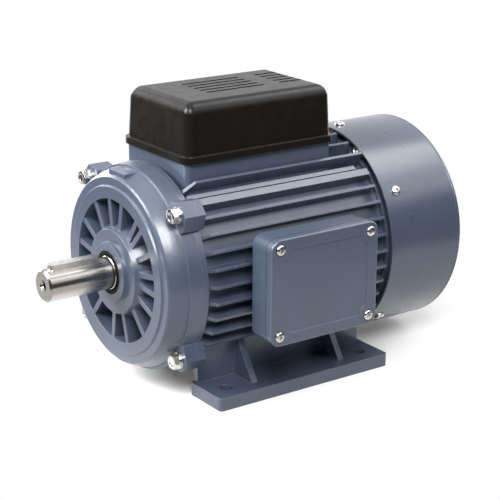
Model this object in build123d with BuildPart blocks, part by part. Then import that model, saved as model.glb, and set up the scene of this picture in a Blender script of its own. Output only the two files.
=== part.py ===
from build123d import *
import os
from math import atan2, cos, degrees, hypot, radians, sin, sqrt, tan

# Foot-mounted, fan-cooled, single-phase capacitor motor, frame size 90 L.
# Origin: centre of the four foot holes, on the floor. X runs along the shaft from the drive end
# (-X) to the fan end (+X), the terminal box is on the -Y side and Z is up. Millimetres.

# ---------------------------------------------------------------- driving sizes
# Feet
SHAFT_HEIGHT = 90.0
FOOT_PITCH_X = 125.0
FOOT_PITCH_Y = 140.0
FOOT_HOLE_R = 5.0
FOOT_LENGTH = 157.0
FOOT_MARGIN = 16.0  # hole line to the foot's outer edge
FOOT_THICKNESS = 10.0
FOOT_CORNER_R = 3.0
FOOT_WALL_Y = 51.5  # outer face of the wall between foot and barrel
FOOT_WALL = 5.5
GUSSET_X = (-40.0, 41.0)
GUSSET_THICKNESS = 5.0
GUSSET_REACH = 23.0  # at the foot, outwards from the wall
GUSSET_WAIST = 6.5  # at the waist, where the slope steepens
GUSSET_WAIST_RISE = 25.0

# Frame barrel and fins
FRAME_LENGTH = 175.0
BORE_R = 65.0
BARREL_WALL = 5.0
END_RING_R = 78.0
END_RING_WIDTH = 4.5
REAR_RING_R = 74.5
REAR_RING_WIDTH = 4.0
FIN_TIP_R = 80.0
FIN_REAR_GAP = 7.5  # rear ends of the fins to the frame's rear face
FIN_START_R = 73.0  # where the sloped front end of a fin leaves the end ring
FIN_ROOT_THICKNESS = 3.4
FIN_TIP_THICKNESS = 2.2
FIN_PITCH = 9.2
FIRST_FIN_ANGLE = -35.3  # above the horizontal
SIDE_FIN_COUNT = 9
THICK_FIN_ANGLE = 47.5
THICK_FIN_THICKNESS = 5.6
LOW_FIN_ANGLE = 52.8
LOW_FIN_TIP_R = 77.0
LOW_FIN_THICKNESS = 3.6
LOW_FIN_REAR_GAP = 15.0
TALL_FIN_ANGLE = 58.0
TALL_FIN_TIP_R = 84.0
TALL_FIN_REAR_GAP = 7.0
TOP_FIN_PITCH = 10.7
TOP_FIN_DROP = 0.5  # tip radius below the plinth's top
TOP_FIN_LENGTH = 25.7
BELLY_FIN_TIP_R = 75.0
BELLY_FIN_PITCH = 12.0
LEAD_HOLE_R = 5.0
LEAD_CHANNEL = 12.0

# Bolt lugs of the drive end and ears of the fan end
LUG_Y = 62.3
UPPER_LUG_RISE = 55.5
LOWER_LUG_DROP = 53.0
LUG_R = 12.5  # across corners, as a radius
LUG_INSET = 4.0  # from the bolt in to the hexagon's centre
FRAME_LUG = 6.5
SHIELD_LUG = 10.5
REAR_BOLT_R = 75.5
REAR_BOLT_ANGLE = 63.0
REAR_EAR_R = 5.4
FRAME_EAR = 4.0
SHIELD_EAR = 8.0

# Plinth and cover of the capacitors
PLINTH_FRONT = -77.3
PLINTH_LENGTH = 130.6
PLINTH_WIDTH = 82.1
PLINTH_RISE = 83.0  # its top above the shaft axis
PLINTH_WALL = 4.0
PLINTH_POCKET = 7.0
PLINTH_CORNER_R = 4.0
COVER_HEIGHT = 43.1
COVER_LIP = 2.4
COVER_LIP_HEIGHT = 5.0
COVER_SIDE_OVERHANG = 1.3  # cover wall beyond the plinth
COVER_END_OVERHANG = 0.2
COVER_WALL = 2.5
COVER_DRAFT = 3.3
COVER_CORNER_R = 7.0
COVER_TOP_R = 8.5
COVER_GASKET = 1.0
VENT_COUNT = 5
VENT_PITCH = 8.2
VENT_WIDTH = 3.0
VENT_LENGTHS = (51.5, 24.5)
VENT_STARTS = (35.8, 101.8)  # from the cover's front wall
VENT_OFFSET_Y = 3.0
COVER_POST = 9.0
COVER_POST_RISE = 24.0
COVER_SCREW_Y = 20.0
COVER_SCREW_RISE = 9.0
COVER_SCREW_SINK = 1.0
START_CAP_R = 17.5
START_CAP_LENGTH = 86.0
RUN_CAP_R = 15.0
RUN_CAP_LENGTH = 78.0
CAP_SPACING = 36.6
CAP_BASE = 3.0
CRADLE_WIDTH = 14.0
CRADLE_SPACING = 50.0
CAP_CLEARANCE = 0.2
CAP_LID = 4.0
CAP_LID_STEP = 1.2
CAP_TAB = (0.8, 6.3, 7.0)  # thickness, width and length of a push-on tab
CAP_TAB_PITCH = 12.0
CAP_TO_POST = 8.0
CRADLE_RISE = 14.4

# Terminal box
BOX_X = -7.9
BOX_RISE = 2.6
BOX_WIDTH = 95.5
BOX_HEIGHT = 79.2
BOX_CORNER_R = 8.5
PAD_WIDTH = 60.0
PAD_HEIGHT = 50.0
PAD_FACE = 90.0  # from the shaft axis
PAD_CORNER_R = 6.0
BOX_GASKET = 1.0
BOX_DEPTH = 17.0
BOX_FLOOR = 4.0
BOX_WALL = 4.0
BOX_DRAFT = 3.0
LID_GASKET = 0.8
LID_THICKNESS = 6.4
LID_WALL = 2.5
LID_EDGE_R = 1.5
LID_BORDER = 9.0
LID_PANEL_STEP = 0.6
LID_SCREW_INSET = 7.45
LID_BOSS_R = 5.4
LID_SEAT = 0.8
BOX_SCREW_X = 26.5
BOX_SCREW_Z = 20.5
WINDOW_R = 9.0
WINDOW_DROP = 12.0
ENTRY_R = 7.2
ENTRY_OFFSET_X = 25.0
ENTRY_PAD = 20.0
ENTRY_PROUD = 1.2
ENTRY_LENGTH = 9.0
BOARD_WIDTH = 45.0
BOARD_HEIGHT = 24.0
BOARD_THICKNESS = 6.0
BOARD_RISE = 13.0
STUD_PITCH = 13.0
STUD_ROW = 12.0
STUD_R = 2.5
STUD_LENGTH = 15.0
BARRIER = 1.6
BARRIER_RISE = 4.0
LINK_THICKNESS = 1.2
LINK_WIDTH = 6.8
NUT_FLATS = 8.0
NUT_HEIGHT = 4.0
BOARD_SCREW_PITCH = 38.6
EARTH_SCREW_INSET = (11.75, 21.6)  # from the box's drive-end side and its bottom

# Drive-end shield
SHIELD_DEPTH = 26.0
FLANGE_TAPER = 1.0
DRUM_ROOT_R = 75.4
DRUM_TIP_R = 70.8
DRUM_BULGE = 0.6
DRUM_EDGE = 1.2
RIM_R = 63.6  # raised ring round the recess
RIM = 1.4
DRUM_WALL = 5.0
TOP_PAD_LENGTH = 11.0
TOP_PAD_WIDTH = 22.0
TOP_PAD_OFFSET_Y = 1.0
TOP_PAD_RISE = 74.6
RECESS_R = 54.0
RECESS_DEPTH = 13.5
RECESS_FLOOR = 5.0
HUB_R = 31.5
HUB_PROJECTION = 2.5
HUB_BOSS_R = 22.1
HUB_BOSS = 3.5
# Ribs across the recess, their angles above the -Y side
RIB_ANGLES = (170, 149, 122, 98.5, 80, 56.5, 47.5, 28, 10, -4, -22.5, -46.5, -75, -97, -129, -158)
RIB_THICKNESS = 4.0
RIB_SETBACK = 0.8
SPIGOT = 4.0
SPIGOT_WALL = 3.5

# Shaft, key and bearings
SHAFT_R = 12.0
SHAFT_EXTENSION = 53.5
SHAFT_CHAMFER = 1.5
SHAFT_SHOULDER = 0.8  # the seal's land, in front of the hub
SHAFT_BODY_R = 15.0
KEY_WIDTH = 8.0
KEY_HEIGHT = 7.0
KEY_LENGTH = 40.0
KEY_INSET = 4.5
KEY_DEPTH = 4.0
CENTRE_HOLE_R = 3.4
CENTRE_HOLE_DEPTH = 22.0
CENTRE_SINK_R = 4.6
SEAL_R = 16.4
SEAL_SINK = 0.3
SEAL_WIDTH = 6.0
SEAL_TO_BEARING = 1.7
BALL_R = 3.97
GROOVE_GAP = 0.05  # ball to raceway
DE_BORE_R = 12.5
DE_OUTER_R = 26.0
DE_WIDTH = 15.0
DE_BALLS = 9
NDE_BORE_R = 10.0
NDE_OUTER_R = 23.5
NDE_WIDTH = 14.0
NDE_BALLS = 8
NDE_INSET = 2.5  # from the mouth of its pocket
LAND = 2.7  # raceway lands from the pitch circle
CAGE_THICKNESS = 1.0
CAGE_HALF_HEIGHT = 1.3
CAGE_FINGER = 2.2
PRELOAD_WASHER = 1.5

# Stator and rotor
CORE_LENGTH = 85.0
CORE_CENTRE = 6.5
STATOR_BORE_R = 41.0
AIR_GAP = 0.3
SLOT_COUNT = 24
SLOT_TOP_R = 57.0
SLOT_BOTTOM_R = 43.5
SLOT_MOUTH = 2.6
TOOTH_WIDTH = 5.6
SLOT_LINER = 0.25
WINDING_OUTER_R = 61.5
WINDING_INNER_R = 43.5
WINDING_OVERHANG = 24.0
WINDING_EDGE = 4.0
END_RING_LENGTH = 10.0
ROTOR_RING_OUTER_R = 39.0
ROTOR_RING_INNER_R = 27.0
ROTOR_VANES = 8
ROTOR_VANE_LENGTH = 5.0
ROTOR_VANE = 2.5
ROTOR_BARS = 28
ROTOR_BAR_TOP_R = 38.6
ROTOR_BAR_BOTTOM_R = 30.0
ROTOR_TOOTH = 4.0

# Fan-end shield
REAR_WEB = 5.5
REAR_WEB_SETBACK = 2.5  # behind the frame's rear face
REAR_RIM = 12.5
REAR_RIM_WALL = 4.5
REAR_HUB_R = 31.0
REAR_HUB_LENGTH = 22.0
REAR_RIB_COUNT = 8
REAR_RIB = 3.0
COWL_BOSS_R = 5.0

# Fan and cowl
FAN_GAP = 6.0  # shield hub to fan backplate
FAN_R = 68.0
FAN_HUB_R = 15.0
FAN_DEPTH = 24.0
FAN_PLATE = 2.5
FAN_BLADES = 9
FAN_BLADE = 2.2
FAN_BORE_R = 9.0
PIN_R = 2.0
CIRCLIP_R = 12.5
CIRCLIP = 1.2
CIRCLIP_DEPTH = 0.6
CIRCLIP_MOUTH = 6.0
CIRCLIP_GAP = 0.1
SHAFT_TAIL = 4.0  # shaft beyond the fan
COWL_R = 82.8
COWL_SHEET = 1.5
COWL_OVERLAP = 5.1  # its front edge over the frame
COWL_LENGTH = 73.9
COWL_EDGE_R = 4.5
COWL_BEAD = 0.6
COWL_SCREW_SETBACK = 11.9
COWL_SCREW_ANGLES = (90.0, 32.7, 147.3, -47.4, -132.6)
GRILLE_FIRST_R = 20.0
GRILLE_PITCH = 10.0
GRILLE_RINGS = 6
GRILLE_SLOT = 5.0
GRILLE_SPOKES = 6
GRILLE_SPOKE = 6.0

# Centrifugal switch
GOVERNOR_TRAVEL = 3.0
SLEEVE_R = 14.0
SLEEVE_BORE_R = 12.0
COLLAR_LENGTH = 8.5
COLLAR_R = 18.5
COLLAR_GROOVE_R = 15.6
FINGER = 2.0
FINGER_GAP = 0.5
LEVER_ARM = 11.0  # pivot to finger tip
WEIGHT_HALF_WIDTH = 4.7
GOVERNOR_DISC = 2.5
EAR_GAP = 0.3
EAR = 2.5
WEIGHT_PIN_R = 1.45
STOP_RING_R = 15.4
STOP_RING = 1.1
ARM_GAP = 0.15
SWITCH_BOARD = 2.0
SWITCH_STANDOFF = 2.0
SWITCH_ARM_LENGTH = 14.6
COLLAR_GROOVE_SETBACK = 5.0
COLLAR_SPARE = 2.0  # left in front of the collar at the end of its travel
SLEEVE_TAIL = 3.0
STOP_RING_DEPTH = 0.5
STOP_GAP = 0.1
FINGER_ROOT_GAP = 1.4
HUB_EDGE = 3.0  # metal beyond the weights' pivots
SWITCH_BOARD_WIDTH = 22.0
SWITCH_BOARD_HEIGHT = 40.0
SWITCH_SCREW = (38.0, 15.0)  # out from, and up from, the shaft axis
STANDOFF_R = 3.0
ARM_HALF_WIDTH = 4.5
ARM_PIVOT_SETBACK = 1.6
ARM_PIN_R = 0.8
ARM_BARREL_R = 1.5
ARM_THICKNESS = 1.2
ARM_EAR = 1.7
PAD_R = 1.2
PAD_SETBACK = 1.05  # of the rubbing pad, in front of the arm's pivot
PAD_INSET = 1.1  # in from the collar's rim
CONTACT_Y = 24.0
CONTACT_R = 1.5
CONTACT = 0.5
CONTACT_GAP = 0.1

# Fits and fasteners
RUNNING_FIT = 0.05
SEAT_FIT = 0.01
HOLE_FIT = 0.3
THREAD_FIT = 0.05
M6_R, M6_FLATS, M6_HEAD, M6_WASHER_R, M6_WASHER = 3.0, 10.0, 4.0, 6.0, 1.6
M5_R, M5_FLATS, M5_HEAD, M5_WASHER_R, M5_WASHER = 2.5, 8.0, 3.5, 5.0, 1.1
M4_R, M4_HEAD_R, M4_HEAD = 2.0, 4.0, 2.4
M3_R, M3_HEAD_R, M3_HEAD = 1.5, 2.8, 1.8
M4_THREAD = 8.0
M3_THREAD = 4.0

# ---------------------------------------------------------------- derived places
FRAME_FRONT = -FRAME_LENGTH / 2
FRAME_REAR = FRAME_LENGTH / 2
BARREL_R = BORE_R + BARREL_WALL
FIN_FRONT = FRAME_FRONT + END_RING_WIDTH
FIN_REAR = FRAME_REAR - FIN_REAR_GAP
REAR_RING_FRONT = FRAME_REAR - REAR_RING_WIDTH
FOOT_WALL_INNER = FOOT_WALL_Y - FOOT_WALL
FOOT_OUTER = FOOT_PITCH_Y / 2 + FOOT_MARGIN
FOOT_WIDTH = FOOT_OUTER - FOOT_WALL_INNER
FOOT_MIDDLE = (FOOT_OUTER + FOOT_WALL_INNER) / 2
SHIELD_FACE = FRAME_FRONT - SHIELD_DEPTH
HUB_FACE = SHIELD_FACE - HUB_PROJECTION
BOSS_FACE = HUB_FACE - HUB_BOSS
SHAFT_END = BOSS_FACE - SHAFT_EXTENSION
SEAL_FRONT = BOSS_FACE + SEAL_SINK
SEAL_REAR = SEAL_FRONT + SEAL_WIDTH
DE_FRONT = SEAL_REAR + SEAL_TO_BEARING
DE_REAR = DE_FRONT + DE_WIDTH
DE_PITCH_R = (DE_BORE_R + DE_OUTER_R) / 2
NDE_PITCH_R = (NDE_BORE_R + NDE_OUTER_R) / 2
RECESS_BACK = SHIELD_FACE + RECESS_DEPTH
CORE_FRONT = CORE_CENTRE - CORE_LENGTH / 2
CORE_REAR = CORE_CENTRE + CORE_LENGTH / 2
REAR_WEB_INNER = FRAME_REAR + REAR_WEB_SETBACK
NDE_FRONT = REAR_WEB_INNER + NDE_INSET
NDE_REAR = NDE_FRONT + NDE_WIDTH
REAR_HUB_END = REAR_WEB_INNER + REAR_HUB_LENGTH
FAN_FRONT = REAR_HUB_END + FAN_GAP
FAN_REAR = FAN_FRONT + FAN_DEPTH
SHAFT_REAR = FAN_REAR + SHAFT_TAIL
PIN_X = FAN_FRONT + FAN_DEPTH / 2
CIRCLIP_FRONT = FAN_REAR + CIRCLIP_GAP
CIRCLIP_SEAT_R = FAN_BORE_R - CIRCLIP_DEPTH
KEY_MIDDLE = SHAFT_END + KEY_INSET + KEY_LENGTH / 2
COWL_FRONT = FRAME_REAR - COWL_OVERLAP
COWL_REAR = COWL_FRONT + COWL_LENGTH
COWL_SCREW_X = COWL_FRONT + COWL_SCREW_SETBACK
PLINTH_REAR = PLINTH_FRONT + PLINTH_LENGTH
PLINTH_MIDDLE = PLINTH_FRONT + PLINTH_LENGTH / 2
PLINTH_TOP = SHAFT_HEIGHT + PLINTH_RISE
POCKET_FLOOR = PLINTH_TOP - PLINTH_POCKET
COVER_BASE = PLINTH_TOP + COVER_GASKET
COVER_LENGTH = PLINTH_LENGTH + 2 * COVER_END_OVERHANG
COVER_WIDTH = PLINTH_WIDTH + 2 * COVER_SIDE_OVERHANG
COVER_FRONT = PLINTH_MIDDLE - COVER_LENGTH / 2
COVER_REAR = PLINTH_MIDDLE + COVER_LENGTH / 2
COVER_TOP = COVER_BASE + COVER_HEIGHT
COVER_SEAT = COVER_REAR - COVER_SCREW_SINK
POST_REAR = PLINTH_REAR - PLINTH_WALL
CAP_Z = POCKET_FLOOR + CAP_BASE + START_CAP_R
CAP_REAR = POST_REAR - COVER_POST - CAP_TO_POST
CRADLE_X = CAP_REAR - START_CAP_LENGTH / 2
BOX_Z = SHAFT_HEIGHT + BOX_RISE
BOX_BACK = PAD_FACE + BOX_GASKET
BOX_INSIDE = BOX_BACK + BOX_FLOOR
BOX_MOUTH = BOX_BACK + BOX_DEPTH
LID_BACK = BOX_MOUTH + LID_GASKET
LID_FACE = LID_BACK + LID_THICKNESS
LID_SCREW_X = BOX_WIDTH / 2 - LID_SCREW_INSET
LID_SCREW_Z = BOX_HEIGHT / 2 - LID_SCREW_INSET
EARTH_SCREW = (EARTH_SCREW_INSET[0] - BOX_WIDTH / 2, EARTH_SCREW_INSET[1] - BOX_HEIGHT / 2)
SWITCH_BOARD_FACE = REAR_WEB_INNER - SWITCH_STANDOFF - SWITCH_BOARD
ARM_PIVOT_X = SWITCH_BOARD_FACE - ARM_PIVOT_SETBACK
ARM_PIVOT_Y = COLLAR_R - PAD_INSET + SWITCH_ARM_LENGTH
COLLAR_REAR = ARM_PIVOT_X - PAD_SETBACK - PAD_R - ARM_GAP
COLLAR_FRONT = COLLAR_REAR - COLLAR_LENGTH
GROOVE_CENTRE = COLLAR_REAR - COLLAR_GROOVE_SETBACK
GOVERNOR_FACE = COLLAR_FRONT - GOVERNOR_TRAVEL - COLLAR_SPARE
GOVERNOR_FRONT = GOVERNOR_FACE - GOVERNOR_DISC
SLEEVE_REAR = COLLAR_REAR + SLEEVE_TAIL
STOP_FRONT = COLLAR_REAR + STOP_GAP
STOP_SEAT_R = SLEEVE_R - STOP_RING_DEPTH
PIVOT_R = COLLAR_GROOVE_R + FINGER_ROOT_GAP + LEVER_ARM
EAR_INNER = WEIGHT_HALF_WIDTH + EAR_GAP
LINK_BACK = BOX_INSIDE + BOARD_THICKNESS
LID_SEAT_FACE = LID_FACE - LID_SEAT

# ---------------------------------------------------------------- reference planes
SHAFT_AXIS = Axis((0, 0, SHAFT_HEIGHT), (1, 0, 0))
AXIAL = Plane((0, 0, SHAFT_HEIGHT), x_dir=(1, 0, 0), z_dir=(0, -1, 0))
CROSS = Plane((0, 0, SHAFT_HEIGHT), x_dir=(0, 1, 0), z_dir=(1, 0, 0))
LUG_CENTRES = [(y, z) for y in (-LUG_Y, LUG_Y) for z in (UPPER_LUG_RISE, -LOWER_LUG_DROP)]
SWITCH_SCREWS = [(-SWITCH_SCREW[0], -SWITCH_SCREW[1]), (-SWITCH_SCREW[0], SWITCH_SCREW[1])]
BASE = (Align.CENTER, Align.CENTER, Align.MIN)
TIP = (Align.CENTER, Align.CENTER, Align.MAX)
REAR_BOLT_ANGLES = (REAR_BOLT_ANGLE, 180 - REAR_BOLT_ANGLE, -REAR_BOLT_ANGLE, REAR_BOLT_ANGLE - 180)
REAR_BOLT_CENTRES = [(REAR_BOLT_R * cos(radians(a)), REAR_BOLT_R * sin(radians(a))) for a in REAR_BOLT_ANGLES]


def box_plane(depth):
    """Plane parallel to the terminal box's lid, a depth out from the shaft axis."""
    return Plane((BOX_X, -depth, BOX_Z), x_dir=(1, 0, 0), z_dir=(0, -1, 0))


def seat(x, y, z, outward):
    """Plane for a fastener: its seat at a point, its head pointing outward."""
    return Plane((x, y, z), z_dir=outward)


def cover_screw_seats(x):
    """Seats of the capacitor cover's two screws."""
    return [seat(x, y, COVER_BASE + COVER_SCREW_RISE, (1, 0, 0)) for y in (-COVER_SCREW_Y, COVER_SCREW_Y)]


def facing_front(x, centres):
    """Seats at places in the cross plane, for screws driven in from the drive end."""
    return [seat(x, y, SHAFT_HEIGHT + z, (-1, 0, 0)) for y, z in centres]


def cowl_seats(radius):
    """Seats of the cowl's screws, at a radius."""
    seats = []
    for angle in COWL_SCREW_ANGLES:
        y, z = cos(radians(angle)), sin(radians(angle))
        seats.append(seat(COWL_SCREW_X, radius * y, SHAFT_HEIGHT + radius * z, (0, y, z)))
    return seats


def box_holes(pitch_x, pitch_z, radius, mode=Mode.ADD):
    """Four round holes about the terminal box's centre."""
    with GridLocations(pitch_x, pitch_z, 2, 2):
        Circle(radius, mode=mode)


# ---------------------------------------------------------------- shared forms
def turned(outline):
    """Solid of revolution about the shaft, from (x, radius) corners."""
    with BuildPart() as body:
        with BuildSketch(AXIAL):
            with BuildLine():
                Polyline(*outline, close=True)
            make_face()
        revolve(axis=SHAFT_AXIS)
    return body.part


def ring(front, rear, outer_r, inner_r):
    """Plain ring on the shaft axis."""
    return turned([(front, inner_r), (rear, inner_r), (rear, outer_r), (front, outer_r)])


def hex_screw(flats, head, shank_r, length):
    """Hexagon-head screw: seat at the origin, head up, shank down."""
    with BuildPart() as screw:
        with BuildSketch():
            RegularPolygon(flats / 2, 6, major_radius=False)
        extrude(amount=head)
        Cylinder(shank_r, length, align=TIP)
    return screw.part


def pan_screw(head_r, head, shank_r, length):
    """Pan-head screw: seat at the origin, head up, shank down."""
    with BuildPart() as screw:
        Cylinder(head_r, head, align=BASE)
        chamfer(screw.faces().sort_by(Axis.Z)[-1].edges(), head * 0.35)
        Cylinder(shank_r, length, align=TIP)
    return screw.part


def washer(outer_r, inner_r, thickness):
    """Flat ring standing on its seat."""
    with BuildPart() as part:
        Cylinder(outer_r, thickness, align=BASE)
        Hole(inner_r)
    return part.part


def spring_washer(outer_r, inner_r, thickness):
    """Split lock washer."""
    with BuildPart() as part:
        add(washer(outer_r, inner_r, thickness))
        with Locations((outer_r, 0, thickness / 2)):
            Box(2 * (outer_r - inner_r) + 1, 0.8, 2 * thickness, mode=Mode.SUBTRACT)
    return part.part


os.makedirs("parts", exist_ok=True)


def finish(part, name):
    """Label a finished piece and write it."""
    part.label = name
    export_step(part, f"parts/{name}.step")


# ---------------------------------------------------------------- motor frame
def fin_section(angle, tip_r, tip_thickness):
    """One radial fin section in the cross plane, at an angle above +Y."""
    foot_r = BARREL_R - 2
    root_half = max(FIN_ROOT_THICKNESS, tip_thickness) / 2
    tip_half = tip_thickness / 2
    with PolarLocations(foot_r, 1, start_angle=angle):
        Polygon(
            (0, -root_half),
            (tip_r - foot_r, -tip_half),
            (tip_r - foot_r, tip_half),
            (0, root_half),
            align=None,
        )


def fin_pair(angle, tip_r, tip_thickness):
    """A fin on each side of the barrel."""
    fin_section(angle, tip_r, tip_thickness)
    fin_section(180 - angle, tip_r, tip_thickness)


def lug_sections():
    """Hexagonal bolt lugs, each with a flat facing outwards."""
    for y, z in LUG_CENTRES:
        with PolarLocations(hypot(y, z) - LUG_INSET, 1, start_angle=degrees(atan2(z, y))):
            RegularPolygon(LUG_R, 6, rotation=30)


with BuildPart() as motor_frame:
    # Full-length fins round the sides and low ones between the feet
    with BuildSketch(CROSS.offset(FIN_FRONT)):
        for n in range(SIDE_FIN_COUNT):
            fin_pair(FIRST_FIN_ANGLE + n * FIN_PITCH, FIN_TIP_R, FIN_TIP_THICKNESS)
        fin_pair(THICK_FIN_ANGLE, FIN_TIP_R, THICK_FIN_THICKNESS)
        fin_pair(-90 + BELLY_FIN_PITCH, BELLY_FIN_TIP_R, FIN_TIP_THICKNESS)
        fin_section(-90, BELLY_FIN_TIP_R, FIN_TIP_THICKNESS)
    extrude(amount=FIN_REAR - FIN_FRONT)
    # Low and tall fins beside the plinth
    with BuildSketch(CROSS.offset(FIN_FRONT)):
        fin_pair(LOW_FIN_ANGLE, LOW_FIN_TIP_R, LOW_FIN_THICKNESS)
    extrude(amount=FRAME_REAR - LOW_FIN_REAR_GAP - FIN_FRONT)
    with BuildSketch(CROSS.offset(FIN_FRONT)):
        fin_pair(TALL_FIN_ANGLE, TALL_FIN_TIP_R, FIN_TIP_THICKNESS)
    extrude(amount=FRAME_REAR - TALL_FIN_REAR_GAP - FIN_FRONT)
    # Sloped front ends of the fins
    with BuildSketch(AXIAL):
        with BuildLine():
            Polyline(
                (FIN_FRONT - 1, FIN_START_R - 1),
                (FIN_FRONT - 1, TALL_FIN_TIP_R + 6),
                (FIN_FRONT + TALL_FIN_TIP_R + 6 - FIN_START_R, TALL_FIN_TIP_R + 6),
                close=True,
            )
        make_face()
    revolve(axis=SHAFT_AXIS, mode=Mode.SUBTRACT)
    # Fins behind the plinth
    with BuildSketch(CROSS.offset(PLINTH_REAR - 1)):
        top_fin_r = PLINTH_RISE - TOP_FIN_DROP
        fin_section(90, top_fin_r, FIN_TIP_THICKNESS)
        fin_pair(90 - TOP_FIN_PITCH, top_fin_r, FIN_TIP_THICKNESS)
        fin_pair(90 - 2 * TOP_FIN_PITCH, top_fin_r, FIN_TIP_THICKNESS)
    extrude(amount=TOP_FIN_LENGTH + 1)
    # Barrel with its end rings
    add(
        turned(
            [
                (FRAME_FRONT, 0),
                (FRAME_FRONT, END_RING_R),
                (FIN_FRONT, END_RING_R),
                (FIN_FRONT, BARREL_R),
                (REAR_RING_FRONT, BARREL_R),
                (REAR_RING_FRONT, REAR_RING_R),
                (FRAME_REAR, REAR_RING_R),
                (FRAME_REAR, 0),
            ]
        )
    )
    # Bolt lugs in front, bolt ears behind
    with BuildSketch(CROSS.offset(FRAME_FRONT)):
        lug_sections()
    extrude(amount=FRAME_LUG)
    with BuildSketch(CROSS.offset(FRAME_REAR)):
        with Locations(*REAR_BOLT_CENTRES):
            Circle(REAR_EAR_R)
    extrude(amount=-FRAME_EAR)
    # Feet, their walls and gussets
    with BuildSketch(Plane.XY):
        with Locations((0, FOOT_MIDDLE), (0, -FOOT_MIDDLE)):
            RectangleRounded(FOOT_LENGTH, FOOT_WIDTH, FOOT_CORNER_R)
    extrude(amount=FOOT_THICKNESS)
    wall_top = SHAFT_HEIGHT - sqrt(BORE_R**2 - FOOT_WALL_INNER**2)
    with BuildSketch(Plane.XY.offset(FOOT_THICKNESS / 2)):
        with Locations((0, FOOT_WALL_Y - FOOT_WALL / 2), (0, FOOT_WALL / 2 - FOOT_WALL_Y)):
            Rectangle(FOOT_LENGTH - 2 * FOOT_CORNER_R, FOOT_WALL)
    extrude(amount=wall_top - FOOT_THICKNESS / 2)
    for gusset_x in GUSSET_X:
        with BuildSketch(Plane.YZ.offset(gusset_x - GUSSET_THICKNESS / 2)):
            for side in (-1, 1):
                inner = side * (FOOT_WALL_Y - FOOT_WALL / 2)
                Polygon(
                    (inner, FOOT_THICKNESS / 2),
                    (side * (FOOT_WALL_Y + GUSSET_REACH), FOOT_THICKNESS / 2),
                    (side * (FOOT_WALL_Y + GUSSET_REACH), FOOT_THICKNESS),
                    (side * (FOOT_WALL_Y + GUSSET_WAIST), FOOT_THICKNESS + GUSSET_WAIST_RISE),
                    (side * (FOOT_WALL_Y + GUSSET_WAIST / 2), wall_top + 1),
                    (inner, wall_top),
                    align=None,
                )
        extrude(amount=GUSSET_THICKNESS)
    # Plinth under the capacitors and pad behind the terminal box
    plinth_foot = SHAFT_HEIGHT + sqrt(BORE_R**2 - (PLINTH_WIDTH / 2) ** 2)
    with BuildSketch(Plane.XY.offset(plinth_foot)):
        with Locations((PLINTH_MIDDLE, 0)):
            RectangleRounded(PLINTH_LENGTH, PLINTH_WIDTH, PLINTH_CORNER_R)
    extrude(amount=PLINTH_TOP - plinth_foot)
    with BuildSketch(box_plane(PAD_FACE)):
        RectangleRounded(PAD_WIDTH, PAD_HEIGHT, PAD_CORNER_R)
    extrude(amount=sqrt(BORE_R**2 - (PAD_HEIGHT / 2 + BOX_RISE) ** 2) - PAD_FACE)
    # Bore
    with BuildSketch(CROSS.offset(FRAME_FRONT)):
        Circle(BORE_R)
    extrude(amount=FRAME_LENGTH, mode=Mode.SUBTRACT)
    # Plinth pocket, cover posts and the capacitor leads' hole
    with BuildSketch(Plane.XY.offset(PLINTH_TOP)):
        with Locations((PLINTH_MIDDLE, 0)):
            Rectangle(PLINTH_LENGTH - 2 * PLINTH_WALL, PLINTH_WIDTH - 2 * PLINTH_WALL)
    extrude(amount=-PLINTH_POCKET, mode=Mode.SUBTRACT)
    post_x = POST_REAR - COVER_POST / 2
    with BuildSketch(Plane.XY.offset(POCKET_FLOOR - 1)):
        with Locations((post_x, COVER_SCREW_Y), (post_x, -COVER_SCREW_Y)):
            Rectangle(COVER_POST, COVER_POST)
    extrude(amount=COVER_POST_RISE + 1)
    with Locations(*cover_screw_seats(POST_REAR)):
        Cylinder(M4_R, M4_THREAD, align=TIP, mode=Mode.SUBTRACT)
    with BuildSketch(Plane.XY.offset(POCKET_FLOOR)):
        with Locations((CORE_FRONT - WINDING_OVERHANG + LEAD_HOLE_R, 0)):
            Circle(LEAD_HOLE_R)
    extrude(amount=BORE_R / 2 - PLINTH_RISE, mode=Mode.SUBTRACT)
    # Wire window of the terminal box and its channel along the bore
    with BuildSketch(box_plane(PAD_FACE)):
        with Locations((0, -WINDOW_DROP)):
            Circle(WINDOW_R)
    extrude(amount=-PAD_FACE / 2, mode=Mode.SUBTRACT)
    with BuildSketch(box_plane(BORE_R + BARREL_WALL / 2)):
        channel_front = CORE_FRONT - LEAD_CHANNEL / 2
        with Locations(((channel_front - BOX_X) / 2, -WINDOW_DROP)):
            Rectangle(BOX_X - channel_front, LEAD_CHANNEL)
    extrude(amount=-BARREL_WALL, mode=Mode.SUBTRACT)
    # Bolt holes: tapped in the lugs, clear in the ears
    with BuildSketch(CROSS.offset(FRAME_FRONT)):
        with Locations(*LUG_CENTRES):
            Circle(M6_R)
    extrude(amount=FRAME_LUG, mode=Mode.SUBTRACT)
    with BuildSketch(CROSS.offset(FRAME_REAR)):
        with Locations(*REAR_BOLT_CENTRES):
            Circle(M5_R + HOLE_FIT)
    extrude(amount=-FRAME_EAR, mode=Mode.SUBTRACT)
    with BuildSketch(box_plane(PAD_FACE)):
        box_holes(2 * BOX_SCREW_X, 2 * BOX_SCREW_Z, M4_R)
    extrude(amount=-M4_THREAD, mode=Mode.SUBTRACT)
    with BuildSketch(Plane.XY):
        with GridLocations(FOOT_PITCH_X, FOOT_PITCH_Y, 2, 2):
            Circle(FOOT_HOLE_R)
    extrude(amount=FOOT_THICKNESS, mode=Mode.SUBTRACT)
finish(motor_frame.part, "motor_frame")

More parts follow.
